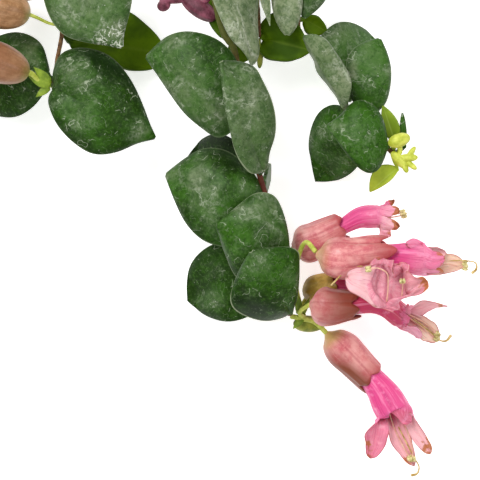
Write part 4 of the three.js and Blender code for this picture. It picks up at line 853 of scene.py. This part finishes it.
def stamens_piece(flower):
    """The filaments with a pair of anthers each, and the style."""
    bm = new_mesh()
    axis = tube_axis(flower)
    trunk = [(*path_point(axis, t), FILAMENT) for t in (0.5, 0.7, THREAD_START)]
    rod(bm, trunk, (8, 8))
    for way in flower["threads"]:
        points = [(*path_point(axis, THREAD_START - 0.02), FILAMENT), *((*p, FILAMENT) for p in way)]
        rod(bm, points, (8, 24))
        end, ahead = Vector(way[-1]), heading(way, 1)
        across = ahead.cross(Vector((0, 0, 1))).normalized()
        for turn in (-1, 1):
            low, top = (end + ahead * x + across * turn * y for x, y in ANTHER_ENDS)
            swelling(bm, low, top, ANTHER_RADIUS, (12, 10), 0, 0.2)
    if flower["style"]:
        last = len(flower["style"]) - 1
        stigma = flower.get("stigma", 0.5)
        points = [(*p, mix(FILAMENT, stigma, ease(0.5, 1, i / last))) for i, p in enumerate(flower["style"])]
        rod(bm, points, (10, 26), 2)
    piece("threads_" + flower["name"], bm, [FILAMENTS, ANTHERS, STYLE], [flower["name"] + "_stamens"])


# Buds, stalks and stems


def bud_piece(bud):
    stalk, body, rough = {
        "tan": (GREEN_STALK, TAN_BUD, 0.12), "dusky": (DUSKY_BUD, DUSKY_BUD, 0.12),
        "yellow": (YOUNG_BUD, YOUNG_BUD, 0.06), "olive": (GREEN_BUD, GREEN_BUD, 0.06),
    }[bud["finish"]]
    bm = new_mesh("along", "cleft_shade", "ripe", "dusk", "foot")

    def marks(u, v):
        # The clefts of a bud are marked for painted shade.
        return {"along": v, "cleft_shade": abs(math.cos(5 * math.pi * u)) ** 6, "ripe": 1, "foot": 0.75,
                "dusk": bud.get("dusk", 0)}

    rod(bm, bud["stalk"], (10, 14))
    for start, end, radius in bud["swellings"]:
        swelling(bm, start, end, radius, (40, 32) if radius > 2 else (16, 14), 0.1, rough, marks)
    for start, end, half in bud.get("bracts", []):
        bract(bm, start, end, half)
    piece("swelling_" + bud["name"], bm, [stalk, body, GREEN_BRACT], [bud["name"]])


def cluster_piece():
    bm = new_mesh()
    for points in CLUSTER_STALKS:
        rod(bm, points, (12, 24))
    for start, end, radius in CLUSTER_SWELLINGS:
        swelling(bm, start, end, radius, (28, 22), 0.1, 0.1)
    for start, end, half in CLUSTER_BRACTS:
        bract(bm, start, end, half)
    piece("stalks_cluster", bm, [GREEN_STALK, GREEN_BUD, GREEN_BRACT], ["cluster_stalk"])


def stem_piece():
    bm = new_mesh("fresh")
    for name, points in STEMS.items():
        steps = len(points) - 1

        def swell(t):
            """Thicker at each joint, and slightly uneven."""
            return 1 + 0.16 * math.cos(2 * math.pi * t * steps) ** 8 + 0.05 * math.sin(t * 37)

        rod(bm, points, (14, steps * 9), 0, lambda u, v: {"fresh": flow(STEM_FRESH[name], v)}, swell)
    piece("bark_stem", bm, [BARK], ["stem"])


# Materials


def linear(colour):
    """An sRGB hex colour as the linear colour that the shaders take."""
    parts = [int(colour[i:i + 2], 16) / 255 for i in (1, 3, 5)]
    return (*(p / 12.92 if p <= 0.04045 else ((p + 0.055) / 1.055) ** 2.4 for p in parts), 1)


def add_node(finish, kind, inputs=None, out=0, **settings):
    """Adds a node, sets it, links or fills its inputs, and gives the output that is asked for."""
    tree = finish.node_tree
    made = tree.nodes.new(kind)
    for name, value in settings.items():
        setattr(made, name, value)
    for socket, value in (inputs or {}).items():
        if isinstance(value, bpy.types.NodeSocket):
            tree.links.new(value, made.inputs[socket])
        else:
            made.inputs[socket].default_value = value
    return made.outputs[out] if len(made.outputs) else None


def lengthwise(finish, turns, length):
    """Coordinates that run round a closed piece and along it, with no seam."""
    uv = add_node(finish, "ShaderNodeTexCoord", out="UV")
    place = add_node(finish, "ShaderNodeSeparateXYZ", {0: uv}).node.outputs
    angle = add_node(finish, "ShaderNodeMath", {0: place[0], 1: 2 * math.pi}, operation="MULTIPLY")
    cosine = add_node(finish, "ShaderNodeMath", {0: angle}, operation="COSINE")
    sine = add_node(finish, "ShaderNodeMath", {0: angle}, operation="SINE")
    ring = add_node(finish, "ShaderNodeCombineXYZ", {0: cosine, 1: sine, 2: place[1]})
    return add_node(finish, "ShaderNodeVectorMath", {0: ring, 1: (turns, turns, length)}, operation="MULTIPLY")


def new_finish(name, marks=(), **patterns):
    """An empty material and its parts by name: the values that the mesh carries, the place in mm, and noises. A
    noise has its size in mm, or its turns round and length along a closed piece, then its detail, roughness and
    distortion."""
    finish = bpy.data.materials.new(name)
    finish.use_nodes = True
    finish.node_tree.nodes.clear()
    metres = add_node(finish, "ShaderNodeTexCoord", out="Object")
    parts = {mark: add_node(finish, "ShaderNodeAttribute", out="Fac", attribute_name=mark) for mark in marks}
    parts["mm"] = add_node(finish, "ShaderNodeVectorMath", {0: metres, "Scale": 1 / MM}, operation="SCALE")
    for pattern, (size, detail, rough, twist) in patterns.items():
        place, scale = (lengthwise(finish, *size), 1) if isinstance(size, tuple) else (parts["mm"], 1 / size)
        parts[pattern] = add_node(finish, "ShaderNodeTexNoise", {
            "Vector": place, "Scale": scale, "Detail": detail, "Roughness": rough, "Distortion": twist})
    return finish, parts


def cover(finish, parts, most, *shares):
    """How much a layer covers: most, times each share. A share is a part's name, alone or with the values at which
    it is none and all."""
    made = most
    for share in shares:
        if isinstance(share, tuple):
            part, none, full = share
            value = add_node(finish, "ShaderNodeMapRange", {
                "Value": parts[part], "From Min": none, "From Max": full}, interpolation_type="SMOOTHSTEP")
        else:
            value = parts[share]
        made = add_node(finish, "ShaderNodeMath", {0: value, 1: made}, operation="MULTIPLY")
    return made


def hairlines(finish, mm, size, thin):
    """Fine curved lines where a noise of that size in mm passes its middle value."""
    field = add_node(finish, "ShaderNodeTexNoise", {
        "Vector": mm, "Scale": 1 / size, "Detail": 2, "Roughness": 0.4})
    off = add_node(finish, "ShaderNodeMath", {0: field, 1: 0.5}, operation="SUBTRACT")
    near = add_node(finish, "ShaderNodeMath", {0: off}, operation="ABSOLUTE")
    return add_node(finish, "ShaderNodeMapRange", {
        "Value": near, "From Min": thin, "From Max": thin * 0.3}, interpolation_type="SMOOTHSTEP")


def complete(finish, parts, ground, layers, rough, height, relief, depth, shading):
    """Lays the layers, a colour and its cover each, over the ground colour, and joins them in the shader with the
    roughness, the relief of the height part, whose depth is in mm, and the values that are even all over."""
    colour = linear(ground)
    for tint, most, *shares in layers:
        share = cover(finish, parts, most, *shares)
        colour = add_node(finish, "ShaderNodeMix", {0: share, 6: colour, 7: linear(tint)}, 2, data_type="RGBA")
    bump = add_node(finish, "ShaderNodeBump", {
        "Height": parts[height], "Strength": relief, "Distance": depth * MM})
    shader = add_node(finish, "ShaderNodeBsdfPrincipled", {
        "Base Color": colour, "Roughness": rough, "Normal": bump, **shading})
    add_node(finish, "ShaderNodeOutputMaterial", {"Surface": shader})
    return finish


def leaf_upper(name):
    # Waxy upper skin of a thick leaf: deep green, lighter in clouds 10 mm wide and lighter and darker with the tone
    # mark, which carries the leaf's own depth of green and painted light and shade, with dark and light mottles 1 to
    # 2 mm wide. A near-black green is painted as shade where the tone mark is set dark. A film of grey-green dust,
    # which also stands in as painted sheen, lies over it and breaks up at the mottles, with powdery swirls, white
    # specks and hair-fine curved scratches, a dark border that is painted shade where the blade turns down to its
    # rim, a pale margin and a scuffed tip.
    finish, parts = new_finish(
        name, ("dust_and_sheen", "rim", "tone", "edge", "worn"), broad=(10, 4, 0.6, 0), mottle=(1.9, 6, 0.66, 0.5),
        grain=(0.8, 2, 0.6, 0), swirl=(8, 6, 0.6, 1.8))
    parts["depth"] = add_node(finish, "ShaderNodeMath", {
        0: parts["tone"], 1: 0.3, 2: parts["broad"]}, operation="MULTIPLY_ADD")
    parts["specks"] = add_node(finish, "ShaderNodeTexVoronoi", {"Vector": parts["mm"], "Scale": 1 / 1.9})
    for part, least, share in (("film", 0.35, ("mottle", 0.64, 0.4)), ("powder", 0.2, ("grain", 0.4, 0.62))):
        parts[part] = add_node(finish, "ShaderNodeMath", {
            0: cover(finish, parts, 1 - least, share), 1: least}, operation="ADD")
    for part, size, thin in (("long hairs", 4.8, 0.011), ("short hairs", 2, 0.016), ("scuffs", 1.5, 0.06)):
        parts[part] = hairlines(finish, parts["mm"], size, thin)
    layers = [
        # Lighter green with the tone mark, partly painted light.
        ("#2c530a", 1, ("depth", 0.3, 0.7)),
        ("#102504", 0.55, ("mottle", 0.5, 0.62)),
        ("#42701f", 0.3, ("mottle", 0.46, 0.34)),
        ("#507a2d", 0.22, ("grain", 0.52, 0.64)),
        # Painted shade: darker towards the edges, where the blade turns down to its rim.
        ("#0f2605", 0.5, ("edge", 0.7, 0.97)),
        # Painted shade: near-black green where the tone mark is set dark.
        ("#0a1c03", 0.75, ("tone", -0.4, -1.5)),
        # Grey dust, which also stands in as painted sheen, here and in the next two layers and the white specks.
        ("#4b7038", 0.3, ("dust_and_sheen", 0, 0.4)),
        ("#7e8869", 0.9, ("dust_and_sheen", 0.15, 1), "film"),
        ("#a7ab99", 0.78, ("swirl", 0.44, 0.66), "dust_and_sheen", "powder"),
        ("#1a3408", 0.24, ("grain", 0.44, 0.32)),
        ("#b8bfa9", 0.6, ("specks", 0.12, 0.08), ("mottle", 0.52, 0.58), ("dust_and_sheen", 0, 0.4)),
        ("#adb79e", 0.5, ("swirl", 0.52, 0.58), "long hairs"),
        ("#8f9f7e", 0.26, ("swirl", 0.48, 0.42), "short hairs"),
        ("#d4d8c8", 0.8, ("worn", 0.1, 0.9), ("swirl", 0.46, 0.5), "scuffs"),
        ("#a3ad8c", 0.8, ("edge", 0.95, 0.995), "rim"),
    ]
    rough = add_node(finish, "ShaderNodeMapRange", {"Value": parts["swirl"], "To Min": 0.3, "To Max": 0.5})
    return complete(finish, parts, "#1b3404", layers, rough, "mottle", 0.2, 0.1, {
        "IOR": 1.45, "Specular IOR Level": 0.1})


def leaf_plain(name, dark, light, vein, rough):
    # Smooth matt leaf skin without dust: the olive underside of a grown leaf, or a young yellow-green leaf, with
    # a paler midrib, soft clouds about 9 mm wide, lighter and darker with the tone mark, which carries painted light
    # and shade, a fine grain and a darker edge, painted shade along the rolled rim.
    finish, parts = new_finish(name, ("tone", "edge", "rib"), broad=(9, 3, 0.5, 0), grain=(0.9, 4, 0.6, 0))
    parts["depth"] = add_node(finish, "ShaderNodeMath", {
        0: parts["tone"], 1: 0.35, 2: parts["broad"]}, operation="MULTIPLY_ADD")
    layers = [
        # Lighter with the tone mark, which carries painted light and shade.
        (light, 1, ("depth", 0.25, 0.75)),
        (vein, 0.16, ("rib", 0, 1)),
        (dark, 0.3, ("grain", 0.5, 0.75)),
        # Painted shade: darker along the rolled rim.
        (dark, 0.5, ("edge", 0.86, 1)),
    ]
    return complete(finish, parts, dark, layers, rough, "grain", 0.25, 0.1, {
        "IOR": 1.45, "Specular IOR Level": 0.1})


def calyx_skin(name, foot, body, light, streak, end, dusk):
    # Fleshy calyx: yellow-green where the stalk enters, flushed over the body with fine lengthwise veins and lighter
    # streaks between them, partly painted highlights along its ridges, a grain of lighter cells 0.7 mm wide, darker
    # in the clefts as painted shade, browner towards its teeth and over the body by its dusk, which on a shaded
    # flank is painted shade, and olive all over while it is unripe. Slightly waxy.
    finish, parts = new_finish(
        name, ("along", "cleft_shade", "ripe", "dusk", "foot"), cloud=(4, 4, 0.55, 0), veins=((6, 2.4), 5, 0.65, 0.3),
        grain=(0.7, 3, 0.6, 0))
    parts["place"] = add_node(finish, "ShaderNodeMath", {
        0: parts["cloud"], 1: 0.22, 2: parts["along"]}, operation="MULTIPLY_ADD")
    layers = [
        (light, 0.75, ("cloud", 0.35, 0.7)),
        (streak, 0.42, ("veins", 0.5, 0.7)),
        # Lighter streaks between the veins, partly painted highlights along the ridges.
        (light, 0.4, ("veins", 0.48, 0.34)),
        # Painted shade: darker in the clefts.
        (streak, 0.5, ("cleft_shade", 0.3, 1)),
        (light, 0.35, ("grain", 0.5, 0.72)),
        (end, 0.85, ("place", 0.72, 1.1)),
        (foot, 1, ("place", 0.36, 0.12), "foot"),
        # Browner by the dusk mark, which also carries the painted shade of a shaded flank.
        (dusk, 1, ("place", 0, 0.9), "dusk"),
        ("#86681f", 1, ("ripe", 1, 0)),
        ("#bf9f50", 1, ("ripe", 1, 0), ("cloud", 0.35, 0.65)),
    ]
    return complete(finish, parts, body, layers, 0.42, "veins", 0.35, 0.25, {
        "IOR": 1.45, "Specular IOR Level": 0.4, "Subsurface Weight": 0.12, "Subsurface Radius": (0.9, 0.35, 0.3),
        "Subsurface Scale": 1.2 * MM, "Coat Weight": 0.1, "Coat Roughness": 0.3})


def petal_skin(name, tube, deep, pale, light, streak, rim):
    # Soft petal: saturated over the tube and paler on the lobes, with fine lengthwise veins in light and dark
    # pink, a darker thin margin and brown paper-dry tips where it withers. A little light passes through.
    finish, parts = new_finish(
        name, ("pale", "wither", "edge", "deep"), cloud=(3, 5, 0.6, 0), veins=((4.5, 1.6), 6, 0.7, 0.4))
    parts["dry"] = add_node(finish, "ShaderNodeMath", {
        0: parts["cloud"], 1: 1.4, 2: parts["wither"]}, operation="MULTIPLY_ADD")
    layers = [
        (deep, 1, ("deep", 0, 1)),
        (pale, 1, ("pale", 0, 1)),
        ("#f0d8bd", 1, ("pale", 1, 2)),
        (light, 0.45, ("veins", 0.5, 0.36)),
        (streak, 0.6, ("veins", 0.52, 0.64)),
        (light, 0.5, ("cloud", 0.52, 0.7)),
        (rim, 0.7, ("edge", 0.88, 1)),
        ("#b0682e", 0.9, ("dry", 1, 1.2)),
        ("#6e3c18", 0.7, ("dry", 1.4, 1.65)),
    ]
    rough = add_node(finish, "ShaderNodeMapRange", {"Value": parts["wither"], "To Min": 0.45, "To Max": 0.8})
    return complete(finish, parts, tube, layers, rough, "veins", 0.5, 0.25, {
        "IOR": 1.42, "Specular IOR Level": 0.35, "Subsurface Weight": 0.2, "Subsurface Radius": (1, 0.45, 0.5),
        "Subsurface Scale": MM, "Sheen Weight": 0.1, "Sheen Roughness": 0.4})


def soft_skin(name, dark, light, size, rough, relief=0.3):
    # Plain plant skin in two close colours that drift over the given size in mm, with a fine grain.
    finish, parts = new_finish(name, cloud=(size, 5, 0.6, 0))
    return complete(finish, parts, dark, [(light, 1, ("cloud", 0.3, 0.7))], rough, "cloud", relief, 0.3, {
        "IOR": 1.45, "Specular IOR Level": 0.35, "Subsurface Weight": 0.08, "Subsurface Radius": (0.6, 0.6, 0.3),
        "Subsurface Scale": 0.8 * MM})


def bark_skin(name):
    # Thin bark: brown and fissured along the stem where it is old, olive or dark red where it is young.
    finish, parts = new_finish(name, ("fresh",), fissure=((2, 30), 5, 0.5, 0), grain=(1.2, 4, 0.6, 0))
    layers = [
        ("#7e6038", 1, ("grain", 0.35, 0.65)),
        ("#2c1a0c", 0.6, ("fissure", 0.55, 0.7)),
        ("#5a1f16", 0.85, ("fresh", 0.1, 0.8)),
        ("#4a5416", 0.85, ("fresh", 0, -1)),
    ]
    return complete(finish, parts, "#46301a", layers, 0.7, "fissure", 0.6, 0.3, {"Specular IOR Level": 0.3})


def white_table(name):
    # Matt white acrylic that is lit a little from below, so that the shadows on it stay pale.
    finish, parts = new_finish(name, grain=(3, 2, 0.5, 0))
    return complete(finish, parts, "#f6f6f6", [("#f8f8f8", 1, ("grain", 0.3, 0.7))], 0.9, "grain", 0.02, 0.1, {
        "Specular IOR Level": 0.1, "Emission Color": linear("#ffffff"), "Emission Strength": TABLE_GLOW})


LEAF_UPPER = leaf_upper("waxy leaf upper skin")
LEAF_UNDER = leaf_plain("matt leaf underside", "#2e4700", "#5a7804", "#82983a", 0.6)
LEAF_YOUNG = leaf_plain("young leaf skin", "#6d8522", "#a9bd3c", "#c9d97c", 0.5)
CALYX = calyx_skin("pink calyx skin", "#cdbb70", "#c6626a", "#e8aea6", "#a83a46", "#a4383c", "#7c3a22")
TAN_BUD = calyx_skin("tan bud skin", "#87883a", "#8c643e", "#c2966c", "#6f4a2a", "#96604c", "#7d4c32")
CALYX_LINING = soft_skin("calyx lining", "#a85560", "#cf8683", 2.5, 0.55)
DUSKY_BUD = soft_skin("dusky purple bud skin", "#4e1c2a", "#9c566a", 3, 0.55, 0.6)
YOUNG_BUD = soft_skin("yellow-green bud skin", "#a3ad2c", "#d6da62", 2.5, 0.5)
GREEN_STALK = soft_skin("yellow-green stalk", "#9ca838", "#ccd268", 2, 0.55)
GREEN_BUD = soft_skin("olive bud skin", "#5b6b18", "#93983a", 2.5, 0.55)
GREEN_BRACT = soft_skin("fresh green bract", "#5a7414", "#869d2c", 2, 0.5)
COROLLA = petal_skin("petal outer skin", "#da4a88", "#bc3450", "#ebb6c0", "#efa2c0", "#bd3570", "#a04048")
COROLLA_LINING = petal_skin("petal lining", "#d5688c", "#b8606a", "#eab9bb", "#f0b9c4", "#c8547c", "#a45848")
FILAMENTS = soft_skin("cream filament", "#cf9280", "#e8c3a6", 3, 0.5)
ANTHERS = soft_skin("golden anther", "#9c8a44", "#e8dda4", 0.8, 0.7, 0.6)
STYLE = soft_skin("golden stigma", "#9c7a34", "#dcc184", 1.5, 0.55)
BARK = bark_skin("thin stem bark")
TABLE = white_table("matt white table")


# The studio: floor, light and camera


def studio():
    bm = bmesh.new()
    bmesh.ops.create_grid(bm, x_segments=1, y_segments=1, size=TABLE_HALF)
    floor = new_object("floor", bm)
    floor.data.materials.append(TABLE)

    world = bpy.data.worlds.new("studio")
    world.use_nodes = True
    sky = world.node_tree.nodes["Background"].inputs
    sky["Color"].default_value = (1, 1, 1, 1)
    sky["Strength"].default_value = WORLD_LIGHT
    bpy.context.scene.world = world
    for name, place, size, watts in LAMPS:
        light = bpy.data.lights.new(name, "AREA")
        light.shape = "SQUARE"
        light.size = size
        light.energy = watts
        lamp = bpy.data.objects.new(name, light)
        lamp.location = place
        lamp.rotation_euler = (-Vector(place)).to_track_quat("-Z", "Y").to_euler()
        bpy.context.scene.collection.objects.link(lamp)

    camera = bpy.data.objects.new("camera", bpy.data.cameras.new("camera"))
    camera.data.sensor_width = SENSOR
    camera.data.lens = SENSOR * (CAMERA_HEIGHT - PHOTO_LEVEL) / PHOTO_WIDTH
    camera.location = (Vector((0, 0, CAMERA_HEIGHT)) - MIDDLE) * MM
    bpy.context.scene.collection.objects.link(camera)
    bpy.context.scene.camera = camera
    bpy.context.scene.view_settings.view_transform = "Standard"


studio()
stem_piece()
cluster_piece()
for leaf in LEAVES:
    leaf_piece(leaf)
for flower in FLOWERS:
    calyx_piece(flower)
    corolla_piece(flower)
    stamens_piece(flower)
for bud in BUDS:
    bud_piece(bud)
